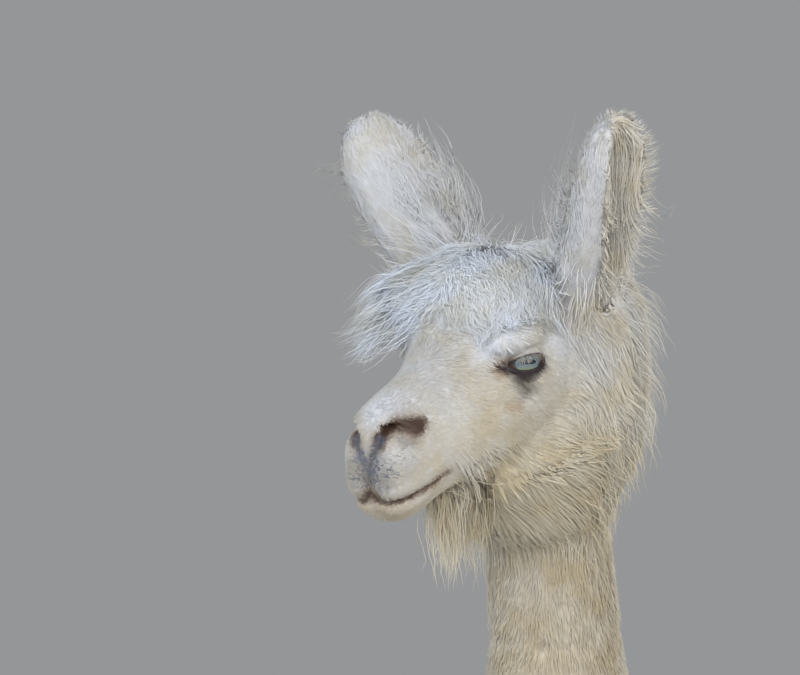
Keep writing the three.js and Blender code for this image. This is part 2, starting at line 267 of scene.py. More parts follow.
# ---- the skin ----
def swollen_copies(names, swell):
    """Copies of the construction's nodes, each a little swollen so that the gaps between them close."""
    joined = bmesh.new()
    for name in names:
        piece = bmesh.new()
        piece.from_mesh(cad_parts[name].data)
        bmesh.ops.remove_doubles(piece, verts=piece.verts, dist=1e-6)
        piece.normal_update()
        for vertex in piece.verts:
            vertex.co += vertex.normal * swell
        mesh = bpy.data.meshes.new("copy")
        piece.to_mesh(mesh)
        joined.from_mesh(mesh)
        piece.free()
        bpy.data.meshes.remove(mesh)
    mesh = bpy.data.meshes.new("copies")
    joined.to_mesh(mesh)
    joined.free()
    return mesh


def cut_level(mesh, height, keep_above):
    """The part of a closed mesh above or below a level, closed again."""
    work = bmesh.new()
    work.from_mesh(mesh)
    geometry = work.verts[:] + work.edges[:] + work.faces[:]
    cut = bmesh.ops.bisect_plane(
        work, geom=geometry, plane_co=(0, 0, height), plane_no=(0, 0, 1),
        clear_inner=keep_above, clear_outer=not keep_above,
    )
    edges = [e for e in cut["geom_cut"] if isinstance(e, bmesh.types.BMEdge)]
    bmesh.ops.holes_fill(work, edges=edges, sides=0)
    bmesh.ops.triangulate(work, faces=[f for f in work.faces if len(f.verts) > 4])
    work.to_mesh(mesh)
    work.free()
    return mesh


COATS = (
    "head", "ear", "forelock", "beard", "neck_ruff", "neck",
    "trunk", "tail", "leg_upper", "leg_lower", "foot",
)


def tree_of(names):
    """A search tree of the construction's nodes, and the coat that each of its triangles carries."""
    corners, faces, kinds = [], [], []
    for name in names:
        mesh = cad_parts[name].data
        start = sum(len(c) for c in corners)
        corners.append(points_of(mesh))
        triangles = array_of(mesh.polygons, "vertices", 3, np.int32) + start
        faces.append(triangles)
        kind = "head" if name == "lower_jaw" else name
        index = max((len(c), i) for i, c in enumerate(COATS) if c in kind)[1]
        kinds += [index] * len(triangles)
    tree = BVHTree.FromPolygons(np.vstack(corners).tolist(), np.vstack(faces).tolist(), all_triangles=True)
    return tree, np.array(kinds)


WOOL_REACH = 0.06


def wool_over(points, normals, name):
    """How deep under a piece of wool each point lies, outwards from the skin, and 0 where there is none."""
    wool, _ = tree_of([name])
    deep = np.zeros(len(points))
    for index in np.nonzero(points[:, 2] > NECK_PARTING)[0].tolist():
        normal = Vector(normals[index])
        _, facing, _, distance = wool.ray_cast(Vector(points[index]) + normal * MM, normal, WOOL_REACH)
        if facing is not None and facing.dot(normal) > 0:
            deep[index] = distance
    return deep


def coat_shares(mesh, blur):
    """For each point of the skin, how much each kind of coat grows there."""
    tree, kinds = tree_of(FLESH)
    points, normals = points_of(mesh), normals_of(mesh)
    found = kinds[[tree.find_nearest(p)[2] for p in points.tolist()]]
    for name in ("forelock", "beard"):
        found[wool_over(points, normals, name) > 0] = COATS.index(name)
    return smoothed(np.eye(len(COATS))[found], edges_of(mesh), blur)


def coat_depth(points, shares, settings):
    """How far under the tips of the coat the skin lies, in metres."""
    head = to_head(points)
    muzzle = ramp(-head[:, 1], 96, 128)
    face = settings.face_depth + (settings.muzzle_depth - settings.face_depth) * muzzle
    low = ramp(points[:, 2], 1.2, 0.98)
    neck = settings.neck_depth + (settings.trunk_depth - settings.neck_depth) * low
    thigh = ramp(points[:, 2], 0.44, 0.72)
    upper_leg = settings.leg_depth * 1.3 + (settings.trunk_depth * 0.8 - settings.leg_depth * 1.3) * thigh
    ones = np.ones(len(points))
    depths = {
        "head": face, "ear": settings.ear_depth * ones, "forelock": 0 * ones, "beard": 0 * ones,
        "neck_ruff": settings.ruff_depth * ones, "neck": neck,
        "trunk": settings.trunk_depth * ones, "tail": settings.tail_depth * ones, "leg_upper": upper_leg,
        "leg_lower": settings.leg_depth * ones, "foot": settings.foot_depth * ones,
    }
    table = np.stack([depths[name] for name in COATS], axis=1)
    return (shares * table).sum(1)


def along_ear(head):
    """Points' places along an ear's middle line, from 0 at its root to 1 at its tip, and the way out."""
    folded = mirrored_side(head)
    axis = EAR_TIP - EAR_ROOT
    along = np.clip((folded - EAR_ROOT) @ axis / (axis @ axis), 0, 1)
    out = unit(folded - EAR_ROOT - along[:, None] * axis)
    out[:, 0] *= np.where(head[:, 0] < 0, -1, 1)
    return along, turn_from_head(out)


def sharpness(normals, edges):
    """0 where a skin runs evenly, and more the more sharply it folds."""
    return 1 - np.linalg.norm(smoothed(normals, edges, 8), axis=1)


def under_coat(mesh, settings):
    """Moves a mesh of the coat's outside in to the skin."""
    edges = edges_of(mesh)
    points = smoothed(points_of(mesh), edges, 4)
    place_points(mesh, points)
    shares = coat_shares(mesh, 10)
    wide_shares = smoothed(shares, edges, 50)
    ears = shares[:, COATS.index("ear")]
    shares_here = wide_shares + (shares - wide_shares) * ears[:, None]
    depth = coat_depth(points, shares_here, settings)
    normals = smoothed(normals_of(mesh), edges, 2)
    pad = smoothed(wool_over(points, normals, "forelock"), edges, 15) - settings.forelock_depth
    points = points + unit(normals) * (np.maximum(pad, 0) * (1 - ears) - depth)[:, None]
    points = smoothed(points, edges, 4, 0.5 * (1 - ears))
    for _ in range(EAR_ROUNDING):
        points = smoothed(points, edges, 1, 0.5 * ears)
        points = smoothed(points, edges, 1, -0.52 * ears)
    place_points(mesh, points)
    _, out = along_ear(to_head(points))
    hollow = smoothed(((out * normals_of(mesh)).sum(axis=1) < -0.1).astype(float), edges, 2) * ears
    points = smoothed(points, edges, 160, 0.5 * hollow)
    pocket = np.linalg.norm(mirrored_side(to_head(points)) - EAR_POCKET, axis=1)
    points = smoothed(points, edges, 90, 0.5 * fade(pocket, 28, 4))
    forelock, ruff, head = (wide_shares[:, COATS.index(name)] for name in ("forelock", "neck_ruff", "head"))
    points = smoothed(points, edges, 60, 0.5 * np.clip(forelock * 3, 0, 1) * (1 - ears))
    points = smoothed(points, edges, 40, 0.5 * np.clip(ruff * 1.6, 0, 1) * (1 - ears))
    points = smoothed(points, edges, 120, 0.5 * np.clip(5 * ruff * head, 0, 1) * (1 - ears))
    place_points(mesh, points)
    zone = np.clip(6 * (ruff + forelock), 0, 1) * (1 - ears) + fade(pocket, 34, 4)
    for _ in range(3):
        bend = sharpness(normals_of(mesh), edges)
        creased = np.clip(3 * smoothed(ramp(bend, 0.08, 0.3) * np.clip(zone, 0, 1), edges, 8), 0, 1)
        points = smoothed(points, edges, 60, 0.5 * creased)
        place_points(mesh, points)
    return mesh


def head_skin(settings):
    """The skin of the head and upper neck, sparser where long wool hides it."""
    nodes = [n for n in FLESH if n in HEAD_FLESH or n.startswith("ear_")] + ["eye_left", "eye_right"]
    mesh = cut_level(swollen_copies(nodes, NODE_SWELL), NECK_PARTING - 4 * NECK_LAP, True)
    mesh = with_modifier(mesh, "REMESH", mode="VOXEL", voxel_size=settings.head_mesh)
    mesh = cut_level(under_coat(mesh, settings), NECK_PARTING - NECK_LAP, True)
    head = to_head(points_of(mesh))
    hidden = (head[:, 1] > 62) | (head[:, 2] < -125) | ((head[:, 1] > 30) & (head[:, 2] < -60))
    hidden &= (head[:, 2] < 30) | (head[:, 1] > 110)
    piece = new_object("thinning", mesh)
    group = piece.vertex_groups.new(name="hidden")
    group.add(np.nonzero(hidden)[0].tolist(), 1.0, "REPLACE")
    modifier = piece.modifiers.new("thinning", "DECIMATE")
    modifier.ratio = 1 - 0.75 * hidden.mean()
    modifier.vertex_group = group.name
    made = evaluated(piece)
    discard(piece)
    return made


def body_skin(settings):
    """The skin of the neck, trunk, tail and legs."""
    nodes = [n for n in FLESH if not (n in HEAD_FLESH or n in WOOL or n.startswith("ear_"))] + ["neck"]
    mesh = cut_level(swollen_copies(nodes, NODE_SWELL), NECK_PARTING + 4 * NECK_LAP, False)
    mesh = with_modifier(mesh, "REMESH", mode="VOXEL", voxel_size=settings.body_mesh)
    return cut_level(under_coat(mesh, settings), NECK_PARTING + NECK_LAP, False)


def combined(mesh, other, operation):
    """The union or difference of two closed meshes."""
    pieces = [new_object("first", mesh), new_object("second", other)]
    modifier = pieces[0].modifiers.new("combine", "BOOLEAN")
    modifier.operation = operation
    modifier.solver = "MANIFOLD"
    modifier.object = pieces[1]
    made = evaluated(pieces[0])
    for piece in pieces:
        discard(piece)
    return made


def refined(mesh, chosen):
    """The mesh with each chosen face cut in four."""
    work = bmesh.new()
    work.from_mesh(mesh)
    work.faces.ensure_lookup_table()
    edges = {edge for index in np.nonzero(chosen)[0].tolist() for edge in work.faces[index].edges}
    bmesh.ops.subdivide_edges(work, edges=list(edges), cuts=1, use_grid_fill=True)
    bmesh.ops.triangulate(work, faces=[f for f in work.faces if len(f.verts) > 4])
    work.to_mesh(mesh)
    work.free()
    return mesh


def face_centres(mesh):
    return array_of(mesh.polygons, "center", 3).astype(float)


# ---- the face: features in the head's frame, each given for the left side and mirrored ----
NOSTRIL = [(11, -149, -30), (17, -147, -22), (24, -142, -20), (30, -134, -23), (34, -123, -27)]
NOSTRIL_INWARD = (-0.55, 0.80, 0.22)
NOSTRIL_FOLD = [(12, -152, -19), (18, -147, -13), (26, -137, -13), (32, -124, -20), (35, -114, -28)]
NOSTRIL_RUN = [(11, -149, -30), (8, -154, -37), (4, -157, -45), (0, -158, -54)]
PHILTRUM = [(0, -158, -50), (0, -158, -62), (0, -157, -74)]
MOUTH = [
    (0, -157, -73), (6, -157, -79), (14, -153, -83), (25, -146, -81), (32, -131, -78), (36, -112, -75),
    (38, -94, -70),
]
LIP_TOP = [(6, -158, -70), (16, -155, -74), (28, -146, -71), (35, -128, -67), (39, -106, -64)]
LIP_BOTTOM = [(4, -154, -88), (20, -147, -91), (31, -128, -87), (37, -104, -80)]
TEAR_RUN = [(54, -13, 2), (51, -18, 2.5), (48, -22, 3), (46, -27, 3)]
BROW = [(43, -30, 17), (50, -21, 23), (60, -7, 26), (68, 12, 26), (71, 30, 18), (71, 44, 6)]
BROW_CREASE = [(42, -32, 12), (47, -27, 14), (55, -19, 15), (63, -3, 15), (67, 16, 10), (68, 32, 2)]
CHEEK_FOLD = [(42, -48, -26), (50, -31, -27), (57, -12, -29), (62, 8, -28)]

LID_FRONT = 6.0
LID_BACK = 122.0
LID_UP = 22.0
LID_DOWN = 14.0
LID_LEVEL = 2.0
LID_THICKNESS = 2.4
LID_GAP = 1.6


def path_distance(points, path, through=None, level=1.0):
    """How far points are from a path, and how far along it their nearest place is, from 0 to 1.
    Distance along the direction `through` doesn't count, and level distance counts `level` times."""
    path = np.asarray(path, float) * (level, level, 1)
    points = points * (level, level, 1)
    if through is not None:
        through = unit(through)
        path = path - np.outer(path @ through, through)
        points = points - np.outer(points @ through, through)
    steps = np.linalg.norm(np.diff(path, axis=0), axis=1)
    before = np.concatenate(([0], np.cumsum(steps)))
    best = np.full(len(points), np.inf)
    along = np.zeros(len(points))
    for start, end, done, step in zip(path[:-1], path[1:], before, steps):
        line = end - start
        t = np.clip((points - start) @ line / (line @ line), 0, 1)
        distance = np.linalg.norm(points - start - t[:, None] * line, axis=1)
        nearer = distance < best
        best[nearer] = distance[nearer]
        along[nearer] = (done + t * step)[nearer] / before[-1]
    return best, along


def nostril_distance(folded):
    """How far points are from the line of the nostril, however deep in it they lie."""
    distance, along = path_distance(folded, NOSTRIL, through=NOSTRIL_INWARD)
    centre = np.mean(NOSTRIL, axis=0)
    deep = (folded - centre) @ unit(NOSTRIL_INWARD)
    return np.where((deep > -14) & (deep < 26), distance, 99.0), along


def mirrored_side(head):
    """Points of the head's frame, folded over onto its left side."""
    return head * (np.where(head[:, :1] < 0, -1, 1) ** np.array([1, 0, 0]))


def eye_directions(head):
    """Round either eye: degrees from straight ahead to its side, degrees up, and distance."""
    local = mirrored_side(head) - (EYE_SIDE, EYE_BACK, 0)
    distance = np.linalg.norm(local, axis=1)
    side = np.degrees(np.arctan2(local[:, 0], -local[:, 1]))
    up = np.degrees(np.arcsin(np.clip(local[:, 2] / np.maximum(distance, 1e-6), -1, 1)))
    return side, up, distance


def lid_edge(count):
    """The almond between the lids, as degrees to the side and up, anticlockwise seen from outside."""
    turn_round = np.linspace(0, 2 * np.pi, count, endpoint=False)
    middle_side = (LID_FRONT + LID_BACK) / 2
    side = middle_side + (LID_BACK - LID_FRONT) / 2 * np.cos(turn_round)
    rise = np.sin(turn_round)
    height = np.sign(rise) * np.abs(rise) ** 1.25
    return side, LID_LEVEL + np.where(rise > 0, LID_UP, LID_DOWN) * height


def lid_distance(side, up):
    """Degrees outside the opening between the lids, below 0 inside it."""
    edge_side, edge_up = lid_edge(72)
    best = np.full(len(side), np.inf)
    inside = np.zeros(len(side), bool)
    for i in range(len(edge_side)):
        x0, y0 = edge_side[i], edge_up[i]
        x1, y1 = edge_side[i - 1], edge_up[i - 1]
        done = (side - x0) * (x1 - x0) + (up - y0) * (y1 - y0)
        t = np.clip(done / ((x1 - x0) ** 2 + (y1 - y0) ** 2), 0, 1)
        best = np.minimum(best, np.hypot(side - x0 - t * (x1 - x0), up - y0 - t * (y1 - y0)))
        crosses = (y0 > up) != (y1 > up)
        inside ^= crosses & (side < (x1 - x0) * (up - y0) / (y1 - y0 + 1e-12) + x0)
    return np.where(inside, -best, best)


def lids_over_eye(head):
    """Draws the skin in over the eyeball as two lids, with a crease above and two faint ones below."""
    side, up, distance = eye_directions(head)
    near = distance < 44
    gap = np.full(len(head), 90.0)
    gap[near] = lid_distance(side[near], up[near])
    above = up > 4
    roll = 0.7 * fade(gap - 5, 4)
    crease = np.where(above, 1.1, 0.6) * fade(gap - np.where(above, 14, 12), 3)
    crease = crease + np.where(above, 0, 0.6) * fade(gap - 22, 3.5)
    hold = (1 - ramp(gap, 9, 40)) * (1 - ramp(distance, 27, 38)) * near
    target = EYE_RADIUS + LID_THICKNESS + roll
    new = distance + (target - distance) * hold - crease * (1 - ramp(distance, 30, 40)) * near
    folded = mirrored_side(head) - (EYE_SIDE, EYE_BACK, 0)
    shifted = folded * (new / np.maximum(distance, 1e-6))[:, None] + (EYE_SIDE, EYE_BACK, 0)
    shifted[:, 0] *= np.where(head[:, 0] < 0, -1, 1)
    return np.where(near[:, None], shifted, head)


def clear_of_eye(head):
    """Keeps the lids a little outside the eyeball."""
    centre = np.where(head[:, :1] < 0, -1, 1) * (EYE_SIDE, 0, 0) + (0, EYE_BACK, 0)
    distance = np.linalg.norm(head - centre, axis=1, keepdims=True)
    near = (distance > EYE_RADIUS * 0.9) & (distance < EYE_RADIUS + LID_GAP)
    return np.where(near, centre + (head - centre) * (EYE_RADIUS + LID_GAP) / distance, head)


def carve(head, normals, path, depth, width, inward=None):
    """A smooth groove along a path, or a ridge where the depth is below 0, on both sides of the face."""
    distance, along = path_distance(mirrored_side(head), path)
    if inward is not None:
        side = np.where(head[:, :1] < 0, -1, 1)
        normals = -unit(inward) * np.concatenate((side, np.ones((len(head), 2))), axis=1)
    deep = depth(along) if callable(depth) else depth
    wide = width(along) if callable(width) else width
    return head - normals * (deep * fade(distance, wide))[:, None]


def sculpted_face(mesh):
    """Nostrils, lips, philtrum and lids on the skin of the head."""
    edges = edges_of(mesh)
    head = to_head(points_of(mesh))
    near = (head[:, 1] < 60) & (head[:, 2] > -140)

    def normals():
        place_points(mesh, from_head(head))
        return unit(smoothed(normals_of(mesh), edges, 2)) @ HEAD_ROWS

    n = normals()
    head = carve(head, n, NOSTRIL_FOLD, -2.2, 5)
    head = carve(head, n, LIP_TOP, -1.6, 5)
    head = carve(head, n, LIP_BOTTOM, -1.6, 4.5)
    head = carve(head, n, BROW, lambda t: -(5.5 + 2.5 * t) * np.sin(np.pi * (0.12 + 0.78 * t)), 11)
    head = carve(head, n, CHEEK_FOLD, lambda t: 1.6 * np.sin(np.pi * t), 5)
    head = np.where(near[:, None], lids_over_eye(head), head)
    n = normals()
    head = carve(head, n, BROW_CREASE, lambda t: 1.8 * np.sin(np.pi * (0.1 + 0.85 * t)), 3.2)
    head = carve(
        head, n, NOSTRIL, lambda t: 3 + 14 * fade(t - 0.38, 0.34), lambda t: 4.8 - 2.4 * t, NOSTRIL_INWARD
    )
    head = carve(head, n, NOSTRIL_RUN, 3.0, 2.4)
    head = carve(head, n, PHILTRUM, 3.8, 2.4)
    head = carve(head, n, MOUTH, lambda t: 6.0 - 3 * t, 2.2)
    head = carve(head, n, TEAR_RUN, lambda t: 3.2 - 2.6 * t, lambda t: 3.4 - 1.4 * t)
    place_points(mesh, from_head(clear_of_eye(head)))
    return mesh


def eye_rays(sign, side, up):
    """The way out from the left eye, or the right one for a sign of -1, at radians to its side and up."""
    return np.stack([sign * np.cos(up) * np.sin(side), -np.cos(up) * np.cos(side), np.sin(up)], axis=-1)


def lid_cutter(sign):
    """The space between the lids, as a tapered plug from inside the eyeball to outside the skin."""
    side, up = lid_edge(64)
    ray = eye_rays(sign, np.radians(side), np.radians(up))
    centre = unit(ray.mean(0))
    inner, outer = EYE_RADIUS * 0.72, EYE_RADIUS + 14
    ends = centre * [[inner * 0.9], [outer + 4]]
    points = np.array([sign * EYE_SIDE, EYE_BACK, 0.0]) + np.vstack([ray * inner, ray * outer, ends])
    count = len(side)
    faces = []
    for i in range(count):
        j = (i + 1) % count
        faces += [(i, j, count + j, count + i), (j, i, 2 * count), (count + i, count + j, 2 * count + 1)]
    mesh = bpy.data.meshes.new("lid_cutter")
    mesh.from_pydata(from_head(points).tolist(), [], faces)
    work = bmesh.new()
    work.from_mesh(mesh)
    bmesh.ops.recalc_face_normals(work, faces=work.faces)
    work.to_mesh(mesh)
    work.free()
    return mesh


def store(mesh, name, values, kind="FLOAT"):
    attribute = mesh.attributes.get(name) or mesh.attributes.new(name, kind, "POINT")
    slot = {"FLOAT": "value", "FLOAT_VECTOR": "vector", "FLOAT_COLOR": "color"}[kind]
    attribute.data.foreach_set(slot, np.asarray(values, np.float32).ravel())


def swirls(points, across):
    """A smooth wandering direction, repeating about every `across` metres."""
    rng = np.random.default_rng(9)
    waves = unit(rng.normal(size=(3, 3, 3)))
    starts = rng.uniform(0, 2 * np.pi, (3, 3))
    turns = np.einsum("pk,cwk->pcw", points, waves) * (2 * np.pi / across)[:, None, None] + starts
    return np.sin(turns).sum(axis=2) / 1.7


# ---- the lie, size and colour of the coat, at points of the skin ----
class Growth:
    """What grows at each point of the skin: which coat, which way it lies, its size and its colour."""

    def __init__(self, mesh, settings):
        self.mesh = mesh
        self.edges = edges_of(mesh)
        self.points = points_of(mesh)
        self.head = to_head(self.points)
        self.folded = mirrored_side(self.head)
        self.normals = unit(smoothed(normals_of(mesh), self.edges, 2))
        self.shares = coat_shares(mesh, 6)
        self.depth = coat_depth(self.points, smoothed(self.shares, self.edges, 40), settings)
        self.ear_inside, self.ear_along, self.ear_out = self.round_ears()
        self.ear_side = (self.ear_out @ turn_from_head((1.0, 0, 0))) * np.where(self.head[:, 0] < 0, -1, 1)
        self.ear_fore = -(self.ear_out @ turn_from_head((0, 1.0, 0)))
        # the crease where each ear's front folds into its hollow: painted shade is laid along it, and its
        # hair thinned
        edge = fade(self.ear_inside - 0.5, 0.15) * self.share("ear")
        middle_part = ramp(self.ear_along, 0.2, 0.4) * ramp(-self.ear_along, -0.93, -0.8)
        self.ear_crease = edge * ramp(self.ear_fore, 0.0, 0.3) * middle_part
        left, _, up = self.head.T
        far = ramp(-left, 20, 62)
        limit = np.maximum(ramp(up - 62 + 0.9 * np.abs(left), -5, 6), far)
        self.wool = smoothed(np.clip(self.share("forelock") * limit, 0, 1), self.edges, 10)
        mesh.calc_loop_triangles()
        self.triangles = array_of(mesh.loop_triangles, "vertices", 3, np.int32)
        first, second, third = self.points[self.triangles].transpose(1, 0, 2)
        self.areas = np.linalg.norm(np.cross(second - first, third - first), axis=1) / 2
        self.lie = self.combed()
        hollow = (self.share("ear") * self.ear_inside)[:, None]
        beside = np.where(self.head[:, :1] < 0, -1, 1) * turn_from_head((1.0, 0, 0))
        self.facing = unit(self.normals * (1 - 0.8 * hollow) + hollow * (beside * 0.6 + (0, -0.55, 0.4)))
        self.tint = coat_colour(self)

    def spread_over(self, where):
        """The area of each triangle of the skin, times how much is wanted there."""
        return self.areas * where[self.triangles].mean(axis=1)

    def round_ears(self):
        """At points of an ear: 1 on its hollow side and 0 on its back, the place along it, the way out."""
        along, out = along_ear(self.head)
        facing = (out * self.normals).sum(axis=1)
        return smoothed((facing < 0).astype(float), self.edges, 3), along, out

    def creased(self):
        """1 where the skin folds sharply, 0 where it runs evenly."""
        return smoothed(ramp(sharpness(self.normals, self.edges), 0.04, 0.14), self.edges, 6)

    def share(self, *names):
        return sum(self.shares[:, COATS.index(name)] for name in names)

    def combed(self):
        """The way the coat lies, along the skin."""
        side = np.sign(self.head[:, 0]) + (self.head[:, 0] == 0)
        back, up = self.head[:, 1], self.head[:, 2]
        ones = np.ones(len(side))

        def in_head(left, backward, upward):
            return turn_from_head(np.stack([side * left * ones, backward * ones, upward * ones], axis=1))

        bridge = ramp(up - 0.35 * (back + 150), -2, 22) * ramp(-back, -10, 20)
        lips = ramp(-back, 100, 128) * ramp(-up, 30, 45)
        forehead = ramp(up, 30, 55) * ramp(back, -60, -20)
        jaw = ramp(-up, 20, 80) * ramp(back, -110, -60)
        face = in_head(0.12, 0.8, -0.5)
        face += bridge[:, None] * (in_head(0.9, 0.35, -0.5) - face)
        face += lips[:, None] * (in_head(0.3, 0.95, -0.12) - face)
        face += jaw[:, None] * (in_head(0.1, 0.85, -0.45) - face)
        face += forehead[:, None] * (in_head(0.3, -0.45, -0.6) - face)
        folded = mirrored_side(self.head) - (EYE_SIDE + 18, EYE_BACK - 3, 6)
        away = fade(np.linalg.norm(folded, axis=1), 26)
        brow = away * ramp(folded[:, 2], -2, 8)
        away = away - brow
        face += brow[:, None] * (in_head(0.45, 0.7, -0.5) - face)
        folded[:, 0] *= side
        face += away[:, None] * (turn_from_head(unit(folded)) * 1.1 - face * 0.5)
        x_side = np.sign(self.points[:, 0])
        top = ramp(self.normals[:, 2], 0.35, 0.9)
        under = ramp(-self.normals[:, 2], 0.5, 0.95)
        outward, rearward = x_side * (0.9 * top + 0.5 * under), 0.35 + 0.3 * top + 0.5 * under
        trunk = np.stack([outward, rearward, top + under - 1], axis=1)
        sweep = ramp(-up, 20, 110) * ramp(-back, -110, 10)
        row = {
            "head": face,
            "ear": in_head(0.38, -0.12, 0.92),
            "forelock": in_head(0.8, -0.35, -0.4),
            "beard": in_head(0.05, -0.1, -1),
            "neck_ruff": in_head(0.08, 0.38 + 0.45 * sweep, 0.35 * sweep - 0.92),
            "neck": np.array([0, 0.12, -1]),
            "trunk": trunk,
            "tail": np.array([0, 0.1, -1]),
            "leg_upper": np.array([0, 0.25, -1]),
            "leg_lower": np.array([0, 0.08, -1]),
            "foot": np.array([0, -0.35, -0.8]),
        }
        inner = self.ear_inside[:, None]
        low = ramp(-self.ear_along, -0.22, -0.08)[:, None]
        inner = np.maximum(inner, low)
        row["ear"] = row["ear"] * (1 - inner) + in_head(-0.15, 0.1, -0.95) * inner
        total = sum(self.shares[:, i, None] * row[name] for i, name in enumerate(COATS))
        total += 0.3 * swirls(self.points, np.where(self.points[:, 2] > 1.3, 0.055, 0.16))
        for _ in range(3):
            total = smoothed(total, self.edges, 4)
            total = unit(total - self.normals * (total * self.normals).sum(1, keepdims=True))
        return total


GROWN = {}


def grown(skin):
    """The growth over the finished skin, worked out once."""
    if skin.name not in GROWN:
        GROWN[skin.name] = Growth(skin.data, bpy.context.scene.llama_skin)
    return GROWN[skin.name]


def blob(head, centre, size):
    """1 at the centre of an ellipsoid of the head's frame, on both sides, falling to 0 about its edge."""
    offset = (mirrored_side(head) - centre) / size
    return np.exp(-((offset**2).sum(-1) ** 1.5))


COAT_WHITE = (0.79, 0.79, 0.78)
COAT_PLAIN = (0.72, 0.725, 0.73)
# a darker copy (0.9) of the plain coat colour: painted shade for the bridge of the nose
BRIDGE_PAINTED_SHADE = (0.648, 0.6525, 0.657)
# the coat's white tinted blue by painted sky light, for the upper head and nose
SKYLIT_COAT_WHITE = (0.76, 0.81, 0.89)
# the wool's white, brighter and bluer with painted sky light, for the crown, forelock and brows
SKYLIT_WOOL_WHITE = (0.82, 0.89, 1.0)
COAT_CREAM = (0.78, 0.74, 0.64)
COAT_SAND = (0.66, 0.58, 0.44)
COAT_STRAW = (0.72, 0.64, 0.46)
COAT_GREY = (0.17, 0.175, 0.20)
# dark of the lid rims, tear runs, lower lashes and bare skin, also used for the painted shadow below the eyes
COAT_DARK_AND_SHADE = (0.035, 0.022, 0.026)
COAT_STAIN = (0.46, 0.30, 0.15)
LASH_PALE = (0.42, 0.42, 0.40)
COAT_DUST = (0.42, 0.36, 0.27)
SKIN_PINK = (0.44, 0.31, 0.26)
# brown of the bare skin in the nostrils and along the mouth, also used for painted shade along the ears'
# creases
BROWN_SKIN_AND_CREASE_SHADE = (0.075, 0.042, 0.028)
SKIN_SLATE = (0.10, 0.11, 0.15)


def toned(colours, markings):
    """Colours with each marking laid over the ones before, where its share is above 0."""
    for shade, share in markings:
        colours = colours + (np.asarray(shade) - colours) * np.clip(share, 0, 1)[:, None]
    return colours


def coat_colour(growth):
    """The markings and painted light: cool white on the forehead, bridge and ears, bluer with painted sky
    light on the upper head, crown and brows, painted shade on the bridge, cream on the cheeks, straw under
    the jaw, grey on the lips, dark round the eyes, nostrils and mouth, a painted shadow below the eyes,
    painted shade along the ears' creases, and dust on the feet."""
    head, folded, height = growth.head, growth.folded, growth.points[:, 2]
    _, back, up = head.T
    on_head = ramp(height, 1.40, 1.46)
    nose = blob(head, (6, -138, 0), (30, 26, 20))
    cheek = ramp(-up, -15, 55) * ramp(back, -115, -50) * on_head
    jaw = ramp(-up, 58, 100) * ramp(back, -150, -95)
    ruff = 0.4 * growth.share("neck_ruff") * ramp(-up, -60, 20)
    chin = blob(head, (14, -142, -96), (26, 30, 18)) * ramp(-up, 80, 88)
    nostril, _ = nostril_distance(folded)
    mouth, _ = path_distance(folded, MOUTH, level=0.45)
    paths = (NOSTRIL_RUN, PHILTRUM, TEAR_RUN, BROW)
    run, cleft, tear, brow = (path_distance(folded, path)[0] for path in paths)
    _, lid_up, gap = round_eye(head)
    high = ramp(lid_up, -2, 8)
    rim = 1 - (1 - high) * ramp(gap, 5, 24) - high * ramp(gap, 1, 7)
    # painted shadow below each eye, laid on with the darkest colour
    shadow = blob(head, (63, -8, -11), (13, 14, 14)) * ramp(-up, -3, 2)
    markings = (
        # painted sky light: a blue tint on the upper head and the nose
        (SKYLIT_COAT_WHITE, np.maximum(ramp(up - 0.25 * back, 15, 60), nose) * on_head),
        (COAT_CREAM, 0.85 * np.maximum(cheek, ruff)),
        (COAT_STRAW, 0.6 * jaw * on_head),
        (COAT_PLAIN, 0.7 * growth.share("ear")),
        (COAT_CREAM, 0.8 * growth.share("ear") * growth.ear_inside),
        # painted sky light on the forelock and crown
        (SKYLIT_WOOL_WHITE, 0.9 * growth.wool),
        # painted shade along the crease at the front of each ear's hollow
        (BROWN_SKIN_AND_CREASE_SHADE, 0.7 * growth.ear_crease),
        # painted shade on the bridge of the nose
        (BRIDGE_PAINTED_SHADE, 0.9 * blob(head, (0, -75, 15), (36, 75, 30))),
        # painted sky light on the brows
        (SKYLIT_WOOL_WHITE, 0.6 * fade(brow, 11)),
        (COAT_SAND, 0.8 * chin),
        (COAT_CREAM, 0.9 * (1 - on_head)),
        (COAT_SAND, 0.6 * growth.share("neck") * ramp(height, 1.0, 1.3)),
        (COAT_DUST, 0.5 * ramp(-height, -0.55, -0.1)),
        (COAT_GREY, 0.45 * blob(head, (10, -154, -58), (16, 16, 18))),
        (COAT_GREY, 0.22 * blob(head, (26, -142, -54), (20, 20, 18))),
        (COAT_GREY, 0.55 * blob(head, (29, -134, -33), (15, 12, 6))),
        (COAT_STAIN, 0.55 * blob(head, (54, -20, -31), (11, 11, 5))),
        (COAT_STAIN, 0.6 * fade(nostril, 8)),
        (BROWN_SKIN_AND_CREASE_SHADE, 1.1 * fade(nostril, 5.5, 4)),
        (COAT_GREY, 0.9 * fade(np.minimum(run, cleft), 5.5)),
        (COAT_STAIN, 0.6 * fade(mouth, 5)),
        (BROWN_SKIN_AND_CREASE_SHADE, 0.9 * fade(mouth, 2.6, 4)),
        (COAT_STAIN, 0.8 * fade(tear, 8)),
        (COAT_DARK_AND_SHADE, 0.9 * fade(tear, 5, 4)),
        # dark lid rims, and the painted shadow below each eye
        (COAT_DARK_AND_SHADE, np.maximum(0.85 * rim, 0.9 * shadow)),
    )
    return toned(np.tile(COAT_WHITE, (len(head), 1)), markings)


def round_eye(head):
    """Round either eye: degrees to its side, degrees up, and degrees outside the opening between the lids."""
    side, up, distance = eye_directions(head)
    near = distance < 42
    gap = np.full(len(head), 90.0)
    gap[near] = lid_distance(side[near], up[near]) + 60 * ramp(distance[near], 26, 34)
    return side, up, gap


